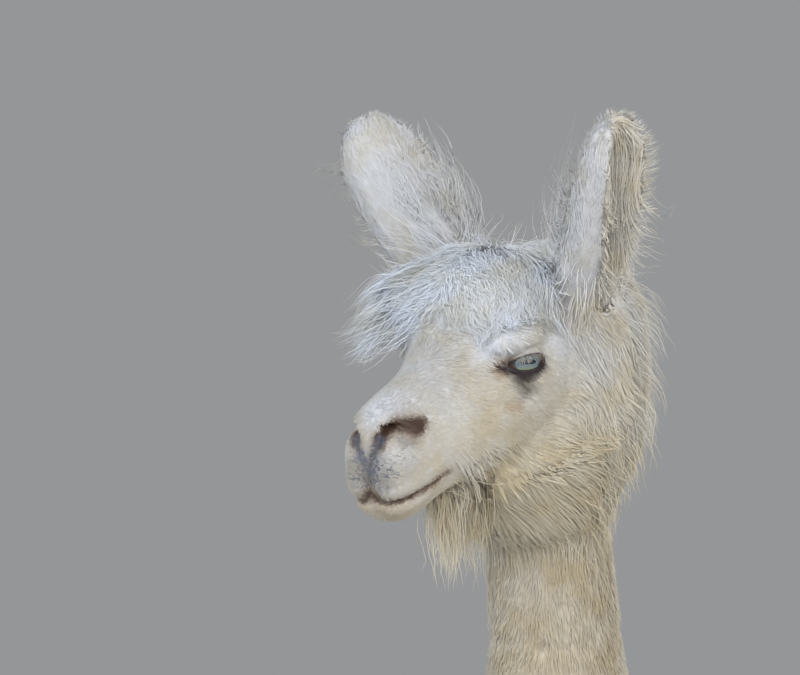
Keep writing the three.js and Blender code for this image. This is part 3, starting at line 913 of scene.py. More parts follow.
def bare_skin_colour(head, tint):
    """The skin's colour: the coat's, with its painted light and shade, a little pinker, and dark where it is
    bare.
    """
    folded = mirrored_side(head)
    nostril, _ = nostril_distance(folded)
    mouth, _ = path_distance(folded, MOUTH, level=0.45)
    run, cleft, tear = (path_distance(folded, path)[0] for path in (NOSTRIL_RUN, PHILTRUM, TEAR_RUN))
    _, up, gap = round_eye(head)
    return toned(tint, (
        (SKIN_PINK, 0.12 * np.ones(len(head))),
        (BROWN_SKIN_AND_CREASE_SHADE, 1.4 * fade(nostril, 5)),
        (SKIN_SLATE, 0.8 * blob(head, (11, -154, -58), (15, 14, 16))),
        (SKIN_SLATE, 0.6 * blob(head, (26, -144, -50), (16, 14, 12))),
        (SKIN_SLATE, 1.2 * fade(np.minimum(run, cleft), 5)),
        (BROWN_SKIN_AND_CREASE_SHADE, 1.2 * fade(mouth, 3.2)),
        (COAT_DARK_AND_SHADE, 1.0 - np.where(up < 3, ramp(gap, 8, 20), ramp(gap, 2, 6))),
        (COAT_DARK_AND_SHADE, 1.2 * fade(tear, 4.5)),
    ))


# ---- nodes ----
class Nodes:
    """Adds and links nodes in a tree, in a few words."""

    def __init__(self, tree):
        self.tree = tree

    def feed(self, socket, value):
        """Links another socket into this one, or sets its own value."""
        if isinstance(value, bpy.types.NodeSocket):
            self.tree.links.new(value, socket)
        else:
            socket.default_value = value

    def add(self, kind, values=(), **settings):
        node = self.tree.nodes.new(kind)
        for name, value in settings.items():
            setattr(node, name, value)
        for name, value in dict(values).items():
            self.feed(node.inputs[name], value)
        return node

    def math(self, operation, *values):
        node = self.add("ShaderNodeMath", operation=operation)
        for socket, value in zip(node.inputs, values):
            self.feed(socket, value)
        return node.outputs[0]

    def mix(self, share, first, second, blend="MIX"):
        node = self.add("ShaderNodeMix", data_type="RGBA", blend_type=blend)
        for socket, value in ((node.inputs[0], share), (node.inputs[6], first), (node.inputs[7], second)):
            self.feed(socket, (*value, 1) if isinstance(value, tuple) else value)
        return node.outputs[2]

    def ramp(self, value, *stops):
        """A value sent through a colour ramp of (place, grey or colour) stops."""
        node = self.add("ShaderNodeValToRGB", {"Fac": value})
        elements = node.color_ramp.elements
        while len(elements) < len(stops):
            elements.new(0.5)
        for element, (place, tone) in zip(elements, stops):
            element.position = place
            element.color = (*tone, 1) if isinstance(tone, tuple) else (tone, tone, tone, 1)
        return node.outputs["Color"]

    def attribute(self, name):
        return self.add("ShaderNodeAttribute", attribute_name=name)

    def place(self):
        return self.add("ShaderNodeTexCoord").outputs["Object"]

    def noise(self, vector, scale, detail):
        values = {"Vector": vector, "Scale": scale, "Detail": detail}
        return self.add("ShaderNodeTexNoise", values).outputs["Fac"]

    def bump(self, shader, strength, distance, height):
        node = self.add("ShaderNodeBump", {"Strength": strength, "Distance": distance, "Height": height})
        self.tree.links.new(node.outputs["Normal"], shader.inputs["Normal"])


def new_material(name, **values):
    """A Principled material, its uniform values set on the shader's own sockets."""
    material = bpy.data.materials.new(name)
    material.use_nodes = True
    shader = material.node_tree.nodes["Principled BSDF"]
    for key, value in values.items():
        shader.inputs[key.replace("_", " ")].default_value = value
    return material, Nodes(material.node_tree), shader


def coat_material():
    """Hair: its marking and painted light and shade, a darker root, fine streaks along it and a soft sheen.
    """
    material, nodes, shader = new_material(
        "Coat hair", Roughness=0.62, Sheen_Weight=0.25, Sheen_Roughness=0.45, Specular_IOR_Level=0.28
    )
    strand = nodes.add("ShaderNodeUVMap", uv_map="Strand").outputs["UV"]
    along = nodes.add("ShaderNodeSeparateXYZ", {"Vector": strand}).outputs["Y"]
    streaks = nodes.add("ShaderNodeMapping", {"Vector": strand, "Scale": (14, 1.6, 1)}).outputs[0]
    lines = nodes.add(
        "ShaderNodeTexNoise", {"Scale": 1.0, "Detail": 3.0, "Roughness": 0.6, "Vector": streaks}
    ).outputs["Fac"]
    cloud = nodes.noise(nodes.place(), 26.0, 5.0)
    tone = nodes.attribute("tint").outputs["Color"]
    for layer in (
        nodes.ramp(nodes.attribute("shade").outputs["Fac"], (0, 0.93), (1, 1.0)),
        nodes.ramp(lines, (0.3, 0.93), (0.7, 1.0)),
        nodes.ramp(along, (0, 0.94), (0.5, 1.0)),
        nodes.ramp(cloud, (0.36, (0.92, 0.86, 0.74)), (0.58, (1.0, 1.0, 1.0))),
    ):
        tone = nodes.mix(1.0, tone, layer, "MULTIPLY")
    nodes.tree.links.new(tone, shader.inputs["Base Color"])
    nodes.bump(shader, 0.25, 0.0004, lines)
    return material


def skin_material():
    """Skin: its marking and painted light and shade, fine pores and folds, and moist where it is bare."""
    material, nodes, shader = new_material("Skin", Roughness=0.55)
    place = nodes.place()
    pores = nodes.add("ShaderNodeTexVoronoi", {"Vector": place, "Scale": 620.0}).outputs["Distance"]
    down = nodes.add("ShaderNodeMapping", {"Vector": place, "Scale": (1, 1, 0.3)}).outputs[0]
    fibres = nodes.noise(down, 700.0, 4.0)
    cloud = nodes.ramp(nodes.noise(place, 55.0, 5.0), (0.3, 0.78), (0.7, 1.0))
    tone = nodes.mix(1.0, nodes.attribute("tint").outputs["Color"], cloud, "MULTIPLY")
    nodes.tree.links.new(tone, shader.inputs["Base Color"])
    rough = nodes.ramp(nodes.attribute("bare").outputs["Fac"], (0, 0.85), (1, 0.38))
    nodes.tree.links.new(rough, shader.inputs["Roughness"])
    nodes.bump(shader, 0.5, 0.0005, nodes.math("ADD", nodes.math("MULTIPLY", pores, 0.6), fibres))
    return material


def material_of(name, make):
    return bpy.data.materials.get(name) or make()


FINE_ROUND_EYE = (EYE_SIDE + 10, EYE_BACK - 12, 2)


class LLAMA_OT_skin(bpy.types.Operator):
    """Make the one skin that lies under the coat, with lids, nostrils and lips"""

    bl_idname = "llama.skin"
    bl_label = "Skin"

    def execute(self, context):
        settings = context.scene.llama_skin
        mesh = head_skin(settings)
        centres = to_head(face_centres(mesh))
        eyes = np.linalg.norm(mirrored_side(centres) - FINE_ROUND_EYE, axis=1) < 32
        mesh = refined(mesh, ((centres[:, 1] < -88) & (centres[:, 2] < 6)) | eyes)
        head = to_head(points_of(mesh))
        folded = mirrored_side(head)
        fine = ramp(-head[:, 1], 84, 92) * (head[:, 2] < 10)
        fine = np.maximum(fine, ramp(-np.linalg.norm(folded - FINE_ROUND_EYE, axis=1), -36, -30))
        edges = edges_of(mesh)
        points = smoothed(points_of(mesh), edges, 6, 0.5 * fine)
        nostril, _ = path_distance(folded, NOSTRIL)
        place_points(mesh, smoothed(points, edges, 60, 0.5 * fade(nostril, 12, 4)))
        mesh = sculpted_face(mesh)
        for sign in SIDES.values():
            mesh = combined(mesh, lid_cutter(sign), "DIFFERENCE")
        mesh = combined(mesh, body_skin(settings), "UNION")
        points = points_of(mesh)
        seam = 1 - ramp(np.abs(points[:, 2] - NECK_PARTING), 0.02, 0.05)
        place_points(mesh, smoothed(points, edges_of(mesh), 12, 0.5 * seam))
        smooth_shaded(mesh)
        growth = Growth(mesh, settings)
        colours = bare_skin_colour(growth.head, growth.tint)
        store(mesh, "tint", np.column_stack([colours, np.ones(len(colours))]), "FLOAT_COLOR")
        store(mesh, "bare", 1 - ramp(colours.sum(1), 0.15, 0.7))
        mesh.materials.clear()
        mesh.materials.append(material_of("Skin", skin_material))
        skin = new_object("skin", mesh)
        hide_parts(*(n for n in FLESH if n not in WOOL))
        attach(skin, BODY)
        return {"FINISHED"}


# ---- eyes ----
EYE_OUT = math.radians(58)
EYE_UP = math.radians(11)
IRIS_REACH = 0.66
CORNEA_BULGE = 0.055
CORNEA_SPREAD = math.radians(50)


def eye_axis(sign):
    return unit(turn_from_head(eye_rays(sign, EYE_OUT, EYE_UP)[None]))[0]


def eyeball(name, sign):
    """A ball with the cornea's bulge, and a map of its face as seen along its own axis."""
    axis = eye_axis(sign)
    level = unit(np.cross(axis, (0, 0, 1)))
    high = np.cross(level, axis)
    rings, around = 40, 64
    opening = np.linspace(0, np.pi, rings + 1)[1:-1]
    from_cornea = np.clip(opening / CORNEA_SPREAD, 0, 1) * np.pi / 2
    radius = EYE_RADIUS * MM * (1 + CORNEA_BULGE * np.cos(from_cornea) ** 1.5)
    angles = np.linspace(0, 2 * np.pi, around, endpoint=False)
    flat = np.stack([np.cos(angles), np.sin(angles)], axis=1)
    circles = [
        np.column_stack([flat * np.sin(a), np.full(around, np.cos(a))]) * r for a, r in zip(opening, radius)
    ]
    ends = [[0, 0, EYE_RADIUS * MM * (1 + CORNEA_BULGE)], [0, 0, -EYE_RADIUS * MM]]
    local = np.vstack([*circles, ends])
    points = np.array(middle(name)) + local @ np.stack([level, high, axis])
    faces = []
    for ring in range(rings - 2):
        for i in range(around):
            j = (i + 1) % around
            a, b = ring * around, (ring + 1) * around
            faces.append((a + i, b + i, b + j, a + j))
    last = (rings - 2) * around
    front, rear = len(points) - 2, len(points) - 1
    faces += [(front, i, (i + 1) % around) for i in range(around)]
    faces += [(rear, last + (i + 1) % around, last + i) for i in range(around)]
    mesh = bpy.data.meshes.new(name)
    mesh.from_pydata(points.tolist(), [], faces)
    add_map(mesh, "EyeFace", local[corners_of(mesh), :2] / (EYE_RADIUS * MM))
    return smooth_shaded(mesh)


def eye_material():
    """A pale blue iris with a level dark pupil, a brown white of the eye and a wet clear surface."""
    material, nodes, shader = new_material(
        "Eye", Roughness=0.12, Coat_Weight=1.0, Coat_Roughness=0.02, Coat_IOR=1.4
    )
    face = nodes.add("ShaderNodeUVMap", uv_map="EyeFace").outputs["UV"]
    split = nodes.add("ShaderNodeSeparateXYZ", {"Vector": face})
    x, y = split.outputs["X"], split.outputs["Y"]
    reach = nodes.math("SQRT", nodes.math("ADD", nodes.math("MULTIPLY", x, x), nodes.math("MULTIPLY", y, y)))
    angle = nodes.math("ARCTAN2", y, x)
    spokes = nodes.add("ShaderNodeCombineXYZ", {
        "X": nodes.math("MULTIPLY", angle, 9.0), "Y": nodes.math("MULTIPLY", reach, 3.0)})
    fibres = nodes.noise(spokes.outputs[0], 2.2, 5.0)
    iris = nodes.ramp(
        fibres, (0.3, (0.08, 0.11, 0.13)), (0.55, (0.18, 0.25, 0.28)), (0.75, (0.34, 0.40, 0.41))
    )
    low = nodes.ramp(nodes.math("MULTIPLY", y, -1.0), (0.22, 0.0), (0.42, 1.0))
    iris = nodes.mix(nodes.math("MULTIPLY", low, 0.8), iris, (0.30, 0.33, 0.17))
    rim = nodes.ramp(reach, (IRIS_REACH - 0.12, 0.0), (IRIS_REACH, 1.0))
    iris = nodes.mix(rim, iris, (0.03, 0.04, 0.06))
    white = nodes.mix(fibres, (0.05, 0.022, 0.012), (0.16, 0.09, 0.05))
    outside = nodes.ramp(reach, (IRIS_REACH - 0.01, 0.0), (IRIS_REACH + 0.02, 1.0))
    wide = nodes.math("POWER", nodes.math("ABSOLUTE", nodes.math("DIVIDE", x, 0.44)), 3.0)
    ragged = nodes.math("ADD", y, nodes.math("MULTIPLY", fibres, 0.05))
    tall = nodes.math("POWER", nodes.math("ABSOLUTE", nodes.math("DIVIDE", ragged, 0.13)), 2.0)
    pupil = nodes.ramp(nodes.math("ADD", wide, tall), (0.75, 1.0), (1.0, 0.0))
    tone = nodes.mix(pupil, iris, (0.008, 0.012, 0.022))
    tone = nodes.mix(outside, tone, white)
    nodes.tree.links.new(tone, shader.inputs["Base Color"])
    return material


class LLAMA_OT_eyes(bpy.types.Operator):
    """Make the two eyeballs"""

    bl_idname = "llama.eyes"
    bl_label = "Eyes"

    def execute(self, context):
        for side, sign in SIDES.items():
            name = f"eye_{side}"
            mesh = eyeball(name, sign)
            mesh.materials.append(material_of("Eye", eye_material))
            piece = new_object(f"eyeball_{side}", mesh)
            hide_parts(name)
            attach(piece, BODY)
        return {"FINISHED"}


# ---- nails ----
def nail_material():
    """Horn: dark brown, with paler growth rings and scuffs."""
    material, nodes, shader = new_material("Nail horn", Roughness=0.45)
    place = nodes.place()
    waves = {"Vector": place, "Scale": 110.0, "Distortion": 3.0, "Detail": 3.0}
    rings = nodes.add("ShaderNodeTexWave", waves, bands_direction="Y").outputs["Fac"]
    cloud = nodes.noise(place, 130.0, 5.0)
    tone = nodes.ramp(cloud, (0.3, (0.030, 0.022, 0.017)), (0.7, (0.13, 0.095, 0.065)))
    tone = nodes.mix(nodes.math("MULTIPLY", rings, 0.3), tone, (0.17, 0.13, 0.09))
    nodes.tree.links.new(tone, shader.inputs["Base Color"])
    nodes.tree.links.new(nodes.ramp(cloud, (0.3, 0.35), (0.8, 0.6)), shader.inputs["Roughness"])
    nodes.bump(shader, 0.4, 0.0006, rings)
    return material


class LLAMA_OT_nails(bpy.types.Operator):
    """Make the nail of each toe"""

    bl_idname = "llama.nails"
    bl_label = "Nails"

    def execute(self, context):
        for name in sorted(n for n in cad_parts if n.startswith("nail_")):
            mesh = with_modifier(swollen_copies([name], 0.8 * MM), "SUBSURF", levels=2, render_levels=2)
            low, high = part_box(name)
            points = np.clip(points_of(mesh), np.array(low), np.array(high))
            place_points(mesh, points)
            mesh.materials.append(material_of("Nail horn", nail_material))
            piece = new_object(name.replace("nail", "horn"), smooth_shaded(mesh))
            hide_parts(name)
            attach(piece, BODY)
        return {"FINISHED"}


# ---- short coat: tufts set over the skin by a node tree ----
TUFT_KINDS = 6
TUFT_BLADES = 6
TUFT_SEED = 61


def tuft_mesh(name, rng):
    """One tuft, of unit length, width and height: thin three-sided blades that lie side by side."""
    points, faces, strand = [], [], []
    for _ in range(TUFT_BLADES):
        start = len(points)
        beside = rng.uniform(-0.5, 0.5)
        lean = rng.uniform(-0.18, 0.18)
        reach, rise = rng.uniform(0.7, 1.0), rng.uniform(0.5, 1.0)
        shift = rng.uniform(-0.5, 0.25)
        wide = rng.uniform(0.15, 0.22)
        for corner, (across, height) in enumerate(((-1, 0), (1, 0), (0, 1))):
            points.append((shift, beside + across * wide, height * 0.16 - 0.15))
            strand.append((corner / 2, 0))
        points.append((shift + reach, beside + lean, rise))
        strand.append((0.5, 1.0))
        faces.append((start, start + 2, start + 1))
        faces += [(start + i, start + (i + 1) % 3, start + 3) for i in range(3)]
    mesh = bpy.data.meshes.new(name)
    mesh.from_pydata(points, [], faces)
    add_map(mesh, "Strand", np.array(strand)[corners_of(mesh)])
    return smooth_shaded(mesh)


def coat_tree():
    """Geometry nodes: scatters tufts over a skin, turned to the lie of the coat, and makes them real."""
    tree = bpy.data.node_groups.get("Short coat")
    if tree:
        return tree
    tree = bpy.data.node_groups.new("Short coat", "GeometryNodeTree")
    face = tree.interface
    face.new_socket("Skin", in_out="INPUT", socket_type="NodeSocketGeometry")
    face.new_socket("Tufts", in_out="INPUT", socket_type="NodeSocketCollection")
    face.new_socket("Turn", in_out="INPUT", socket_type="NodeSocketFloat").default_value = 0.25
    face.new_socket("Seed", in_out="INPUT", socket_type="NodeSocketInt").default_value = 1
    face.new_socket("Material", in_out="INPUT", socket_type="NodeSocketMaterial")
    face.new_socket("Coat", in_out="OUTPUT", socket_type="NodeSocketGeometry")
    nodes = Nodes(tree)
    given = nodes.add("NodeGroupInput").outputs

    def named(name, kind):
        found = nodes.add("GeometryNodeInputNamedAttribute", {"Name": name}, data_type=kind)
        return found.outputs["Attribute"]

    def chance(kind, low, high, offset):
        seed = nodes.math("ADD", given["Seed"], offset)
        node = nodes.add("FunctionNodeRandomValue", data_type=kind)
        for socket in node.inputs:
            if socket.enabled and socket.name == "Min":
                socket.default_value = low
            if socket.enabled and socket.name == "Max":
                socket.default_value = high
        tree.links.new(seed, node.inputs["Seed"])
        return next(o for o in node.outputs if o.enabled)

    spread = nodes.add("GeometryNodeDistributePointsOnFaces", {
        "Mesh": given["Skin"], "Density": named("density", "FLOAT"), "Seed": given["Seed"]})
    position = nodes.add("GeometryNodeInputPosition").outputs[0]
    rooted = nodes.add("GeometryNodeStoreNamedAttribute", {
        "Geometry": spread.outputs["Points"], "Name": "root", "Value": position},
        data_type="FLOAT_VECTOR", domain="POINT")
    shaded = nodes.add("GeometryNodeStoreNamedAttribute", {
        "Geometry": rooted.outputs[0], "Name": "shade", "Value": chance("FLOAT", 0.0, 1.0, 11)},
        data_type="FLOAT", domain="POINT")
    facing = nodes.add("FunctionNodeAxesToRotation", {
        "Primary Axis": named("up", "FLOAT_VECTOR"), "Secondary Axis": named("lie", "FLOAT_VECTOR")},
        primary_axis="Z", secondary_axis="X")
    swing = nodes.math("MULTIPLY", chance("FLOAT", -1.0, 1.0, 23), given["Turn"])
    swing = nodes.add("FunctionNodeAxisAngleToRotation", {"Axis": (0, 0, 1), "Angle": swing}).outputs[0]
    turned = nodes.add("FunctionNodeRotateRotation", {
        "Rotation": facing.outputs[0], "Rotate By": swing}, rotation_space="LOCAL")
    scale = nodes.add("ShaderNodeVectorMath", operation="MULTIPLY")
    tree.links.new(named("size", "FLOAT_VECTOR"), scale.inputs[0])
    tree.links.new(chance("FLOAT_VECTOR", (0.75, 0.8, 0.7), (1.25, 1.2, 1.25), 37), scale.inputs[1])
    tufts = nodes.add("GeometryNodeCollectionInfo", {
        "Collection": given["Tufts"], "Separate Children": True, "Reset Children": True})
    placed = nodes.add("GeometryNodeInstanceOnPoints", {
        "Points": shaded.outputs[0], "Instance": tufts.outputs[0], "Pick Instance": True,
        "Instance Index": chance("INT", 0, 99, 5), "Rotation": turned.outputs[0], "Scale": scale.outputs[0]})
    real = nodes.add("GeometryNodeRealizeInstances", {"Geometry": placed.outputs[0]})
    finish = nodes.add("GeometryNodeSetMaterial", {
        "Geometry": real.outputs[0], "Material": given["Material"]})
    leave = nodes.add("NodeGroupOutput")
    tree.links.new(finish.outputs[0], leave.inputs[0])
    return tree


def tuft_collection():
    """A few unlike tufts to scatter, kept out of the scene."""
    group = bpy.data.collections.get("tufts")
    if group:
        return group
    group = bpy.data.collections.new("tufts")
    rng = np.random.default_rng(TUFT_SEED)
    for i in range(TUFT_KINDS):
        name = f"tuft_{i}"
        group.objects.link(bpy.data.objects.new(name, tuft_mesh(name, rng)))
    return group


PATCH = 0.003
LEG_SIDE = 0.11
FORELEG_BACK = -0.29
HINDLEG_BACK = 0.42


def unwrapped(points, around):
    """Points' places on an unrolled part of the body, from 0 to 1 both ways."""
    if around == "head":
        local = to_head(points)
        u, v = np.arctan2(local[:, 0], local[:, 2] + 30) / (2 * np.pi) + 0.5, (local[:, 1] + 170) / 330
    elif around == "ears":
        local = to_head(points)
        folded = mirrored_side(local)
        u = np.arctan2(folded[:, 1] - 72, folded[:, 0] - 40 - 0.42 * folded[:, 2]) / (4 * np.pi) + 0.25
        u = np.where(local[:, 0] < 0, u + 0.5, u)
        v = (folded[:, 2] - 10) / 220
    elif around == "legs":
        behind_leg = points[:, 1] - np.where(points[:, 1] < 0, FORELEG_BACK, HINDLEG_BACK)
        u = np.arctan2(np.abs(points[:, 0]) - LEG_SIDE, behind_leg) / (8 * np.pi)
        u = u + 0.125 + 0.25 * ((points[:, 0] > 0) + 2 * (points[:, 1] > 0))
        v = points[:, 2]
    elif around == "trunk":
        u, v = np.arctan2(points[:, 0], points[:, 2] - 0.88) / (2 * np.pi) + 0.5, (points[:, 1] + 0.5) / 1.2
    else:
        u, v = np.arctan2(points[:, 0], points[:, 1] + 0.36) / (2 * np.pi) + 0.5, (points[:, 2] - 0.9) / 0.9
    return np.clip(np.stack([u, v], axis=1), 0.003, 0.994)


def add_bake_map(mesh, roots, strand, around):
    """OFBake: each tuft is a small patch at its root's place on the unrolled skin."""
    layer = add_map(mesh, "OFBake", unwrapped(roots, around) + strand * PATCH)
    mesh.uv_layers.active = layer
    layer.active_render = True


def short_coat(name, growth, where, size, tufts, around, seed):
    """One piece of short coat. `where` is how much of it grows at each point of the skin."""
    host = growth.mesh.copy()
    where = np.where(where > 0.02, where, 0)
    store(host, "density", where * tufts / growth.spread_over(where).sum())
    store(host, "size", size, "FLOAT_VECTOR")
    store(host, "lie", growth.lie, "FLOAT_VECTOR")
    store(host, "up", growth.normals, "FLOAT_VECTOR")
    store(host, "facing", growth.facing, "FLOAT_VECTOR")
    store(host, "tint", np.column_stack([growth.tint, np.ones(len(growth.tint))]), "FLOAT_COLOR")
    piece = new_object("host", host)
    tree = coat_tree()
    modifier = piece.modifiers.new("coat", "NODES")
    modifier.node_group = tree
    hair = material_of("Coat hair", coat_material)
    values = {"Tufts": tuft_collection(), "Seed": seed, "Material": hair}
    for item in tree.interface.items_tree:
        if item.item_type == "SOCKET" and item.in_out == "INPUT" and item.name in values:
            modifier[item.identifier] = values[item.name]
    mesh = evaluated(piece)
    discard(piece)
    mesh.name = name
    above_floor = points_of(mesh)
    above_floor[:, 2] = np.maximum(above_floor[:, 2], FLOOR_GAP)
    place_points(mesh, above_floor)
    soften(mesh, array_of(mesh.attributes["facing"].data, "vector", 3), 0.8)
    for unused in ("density", "size", "lie", "up", "facing"):
        if unused in mesh.attributes:
            mesh.attributes.remove(mesh.attributes[unused])
    roots = array_of(mesh.attributes["root"].data, "vector", 3)[corners_of(mesh)]
    strand = array_of(mesh.uv_layers["Strand"].uv, "vector", 2)
    add_bake_map(mesh, roots, strand, around)
    mesh.attributes.remove(mesh.attributes["root"])
    made = new_object(name, mesh)
    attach(made, BODY)
    return made


def sizes(long, wide, high):
    """Length, width and height of the tufts at each point, given in millimetres."""
    return np.stack(np.broadcast_arrays(long, wide, high), axis=1) * MM


SHORT_COAT_SEED = 40


class LLAMA_OT_short_coat(bpy.types.Operator):
    """Cover the face, ears, neck, trunk and legs with short tufts"""

    bl_idname = "llama.short_coat"
    bl_label = "Short coat"

    def execute(self, context):
        growth = grown(bpy.data.objects["skin"])
        head, points, folded = growth.head, growth.points, growth.folded
        _, up, gap = round_eye(head)
        bare = np.maximum.reduce([
            fade(path_distance(folded, path)[0], reach)
            for path, reach in ((PHILTRUM, 3.4), (NOSTRIL_RUN, 3.4), (TEAR_RUN, 3.2))
        ])
        bare = np.maximum(bare, fade(nostril_distance(folded)[0], 4.6, 4))
        bare = np.maximum(bare, fade(path_distance(folded, MOUTH, level=0.45)[0], 2.4, 4))
        bare = np.maximum(bare, 1 - np.where(up < 3, ramp(gap, 4, 9), ramp(gap, 3, 7)))
        lip = blob(head, (12, -152, -57), (18, 16, 18))
        muzzle = ramp(-head[:, 1], 95, 130)
        cheek = ramp(head[:, 1], -60, 50) * ramp(-head[:, 2], -20, 70)
        openings = np.minimum.reduce([nostril_distance(folded)[0]] + [
            path_distance(folded, path, level=0.6)[0] for path in (PHILTRUM, NOSTRIL_RUN, MOUTH)
        ])
        fine = np.maximum(fade(openings, 8), 1 - ramp(gap, 10, 55))
        face = growth.share("head") + growth.share("forelock") * (1 - growth.wool)
        face = face * (1 - bare) * (1 - 0.45 * lip) * (points[:, 2] > 1.38) * (1 + 0.8 * fine)
        front = ramp(-head[:, 1], 58, 70)
        small = 1 - 0.5 * fine
        nose_size = sizes((8 - 3.4 * muzzle + 1.5 * lip) * small, 3.2 * small, 1.3 + 0.5 * lip)
        brow = fade(path_distance(folded, BROW)[0], 12)
        small = small * (0.35 + 0.65 * ramp(gap, 10, 40))
        long = (9.5 + 8 * cheek - 2.5 * brow) * small
        face_size = sizes(long, 3.5 * small, 2.2 + 2.2 * cheek - 0.9 * brow)
        ruff = smoothed(growth.share("neck_ruff") + growth.share("beard"), growth.edges, 12)
        ruff_size = sizes(11 + 12 * ruff, 3.2 + ruff, 2.2 + 1.8 * ruff)
        pocket = np.linalg.norm(folded - EAR_POCKET, axis=1)
        ruff = ruff * (1 - fade(pocket, 20, 4)) * (1 - growth.creased())
        ear = growth.share("ear") * (1 - 0.6 * growth.ear_crease) * (1 - fade(pocket, 11, 4))
        neck = growth.share("neck")
        near_head = 1 + 2.2 * ramp(points[:, 2], 1.18, 1.36)
        low = ramp(-points[:, 2], -1.25, -0.98)
        neck_size = sizes(18 + 24 * low, 5 + 7 * low, 4.5 + 4.5 * low)
        foot = growth.share("foot") * (points[:, 2] > 0.012)
        ones = np.ones(len(points))
        pieces = [
            ("coat_muzzle", face * front, nose_size, 5300, "head", "face_coat"),
            ("coat_face", face * (1 - front), face_size, 5400, "head", "face_coat"),
            ("coat_forelock_base", growth.wool, sizes(17 * ones, 3.8, 5), 3200, "head", "long_wool"),
            ("coat_ruff_base", ruff, ruff_size, 5200, "head", "long_wool"),
            ("coat_ears", ear, sizes(10 * ones, 3.6, 2.6), 4400, "ears", "ear_coat"),
            ("coat_neck", neck * near_head, neck_size, 4800, "neck", "body_coat"),
            ("coat_trunk", growth.share("trunk"), sizes(46 * ones, 12, 17), 4700, "trunk", "body_coat"),
            ("coat_legs_upper", growth.share("leg_upper"), sizes(30 * ones, 9, 8), 3200, "legs", "body_coat"),
            ("coat_legs_lower", growth.share("leg_lower"), sizes(16 * ones, 6, 4), 2700, "legs", "body_coat"),
            ("coat_feet", foot, sizes(11 * ones, 4.5, 2.6), 1700, "legs", "body_coat"),
        ]
        for number, (name, where, size, tufts, around, slot) in enumerate(pieces):
            piece = short_coat(name, growth, where, size, tufts, around, SHORT_COAT_SEED + number)
        return {"FINISHED"}


# ---- long coat: strands combed over the skin, drawn together in locks ----
class Comb:
    """Grows strands from the skin, each kept off it and turned to the lie of the coat as it goes."""

    def __init__(self, growth):
        self.growth = growth
        points, triangles = growth.points.tolist(), growth.triangles.tolist()
        self.tree = BVHTree.FromPolygons(points, triangles, all_triangles=True)

    def scatter(self, where, count, rng):
        """Random places on the skin, as triangle corners and the share of each: more where more is wanted."""
        weight = self.growth.spread_over(where)
        picked = rng.choice(len(weight), count, p=weight / weight.sum())
        s, t = rng.random((2, count))
        over = s + t > 1
        s, t = np.where(over, 1 - s, s), np.where(over, 1 - t, t)
        return self.growth.triangles[picked], np.stack([1 - s - t, s, t], axis=1)

    def near(self, points):
        """The skin's nearest places, their outward directions and the coat's lie there."""
        found = [self.tree.find_nearest(p) for p in points.tolist()]
        at = np.array([f[0] for f in found])
        triangle = self.growth.triangles[[f[2] for f in found]]
        return at, self.growth.normals[triangle[:, 0]], self.growth.lie[triangle[:, 0]]

    def grow(self, roots, lies, ups, style, rng):
        """Each strand's middle line, and at each of its points the direction away from the skin."""
        count, steps = len(roots), style["steps"]
        long = style["long"] * rng.uniform(1 - style["uneven"], 1 + style["uneven"] * 0.6, count) * MM
        high = style["high"] * rng.uniform(0.55, 1.05, count) * MM
        lift = style["lift"]
        heading = unit(lies * (1 - lift) + ups * lift + rng.normal(0, style["stray"], (count, 3)))
        points = roots - ups * MM
        path, outs = [points], [ups]
        up, lie = ups, lies
        for k in range(1, steps + 1):
            before = points
            points = points + heading * (long / steps)[:, None]
            if not style["free"]:
                at, up, lie = self.near(points)
                gap = ((points - at) * up).sum(axis=1)
                want = high * (1 - (1 - k / steps) ** 1.7)
                pull = np.where(gap < want, 0.85, style["stick"])
                points = points + up * ((want - gap) * pull)[:, None]
            heading = unit(unit(points - before) * 0.5 + lie * style["follow"] + (0, 0, -style["droop"]))
            path.append(points)
            outs.append(up)
        return straightened(np.stack(path, axis=1), np.stack(outs, axis=1))


def straightened(path, outs):
    """Makes strands that double back, where two lies of the coat meet, run straight on and end sooner."""
    along = unit(np.diff(path, axis=1))
    kinked = (along[:, 1:] * along[:, :-1]).sum(axis=2).min(axis=1) < 0.35
    first = path[kinked, 1:2] - path[kinked, :1]
    path[kinked] = path[kinked, :1] + first * (0.6 * np.arange(path.shape[1]))[None, :, None]
    outs[kinked] = outs[kinked, :1]
    return path, outs


def tangents(path):
    return unit(np.gradient(path, axis=1))


def in_locks(path, count, hold, rng):
    """Draws strands towards a chosen few, more so at their tips. Returns the strand that each one follows."""
    roots = path[:, 0]
    leaders = rng.choice(len(path), max(1, min(count, len(path))), replace=False)
    chosen = np.empty(len(path), int)
    for start in range(0, len(path), 2000):
        part = roots[start:start + 2000]
        gaps = ((part[:, None] - roots[leaders][None]) ** 2).sum(axis=2)
        chosen[start:start + 2000] = leaders[gaps.argmin(axis=1)]
    t = np.linspace(0, 1, path.shape[1])[None, :, None]
    beside = (roots - roots[chosen])[:, None]
    followed = path[chosen] + beside * (1 - 0.8 * t)
    return path + (followed - path) * hold * t**1.2, chosen


def curled(path, outs, amount, turns, phase):
    """Adds a wave or curl that widens from root to tip."""
    t = np.linspace(0, 1, path.shape[1])[None, :]
    across = unit(np.cross(tangents(path), outs))
    swing = 2 * np.pi * (turns[:, None] * t + phase[:, None])
    size = amount[:, None] * t**0.8
    start = np.sin(2 * np.pi * phase)[:, None]
    sideways = across * (size * (np.sin(swing) - start))[..., None]
    return path + sideways + outs * (0.6 * size * (np.cos(swing) + 0.4))[..., None]


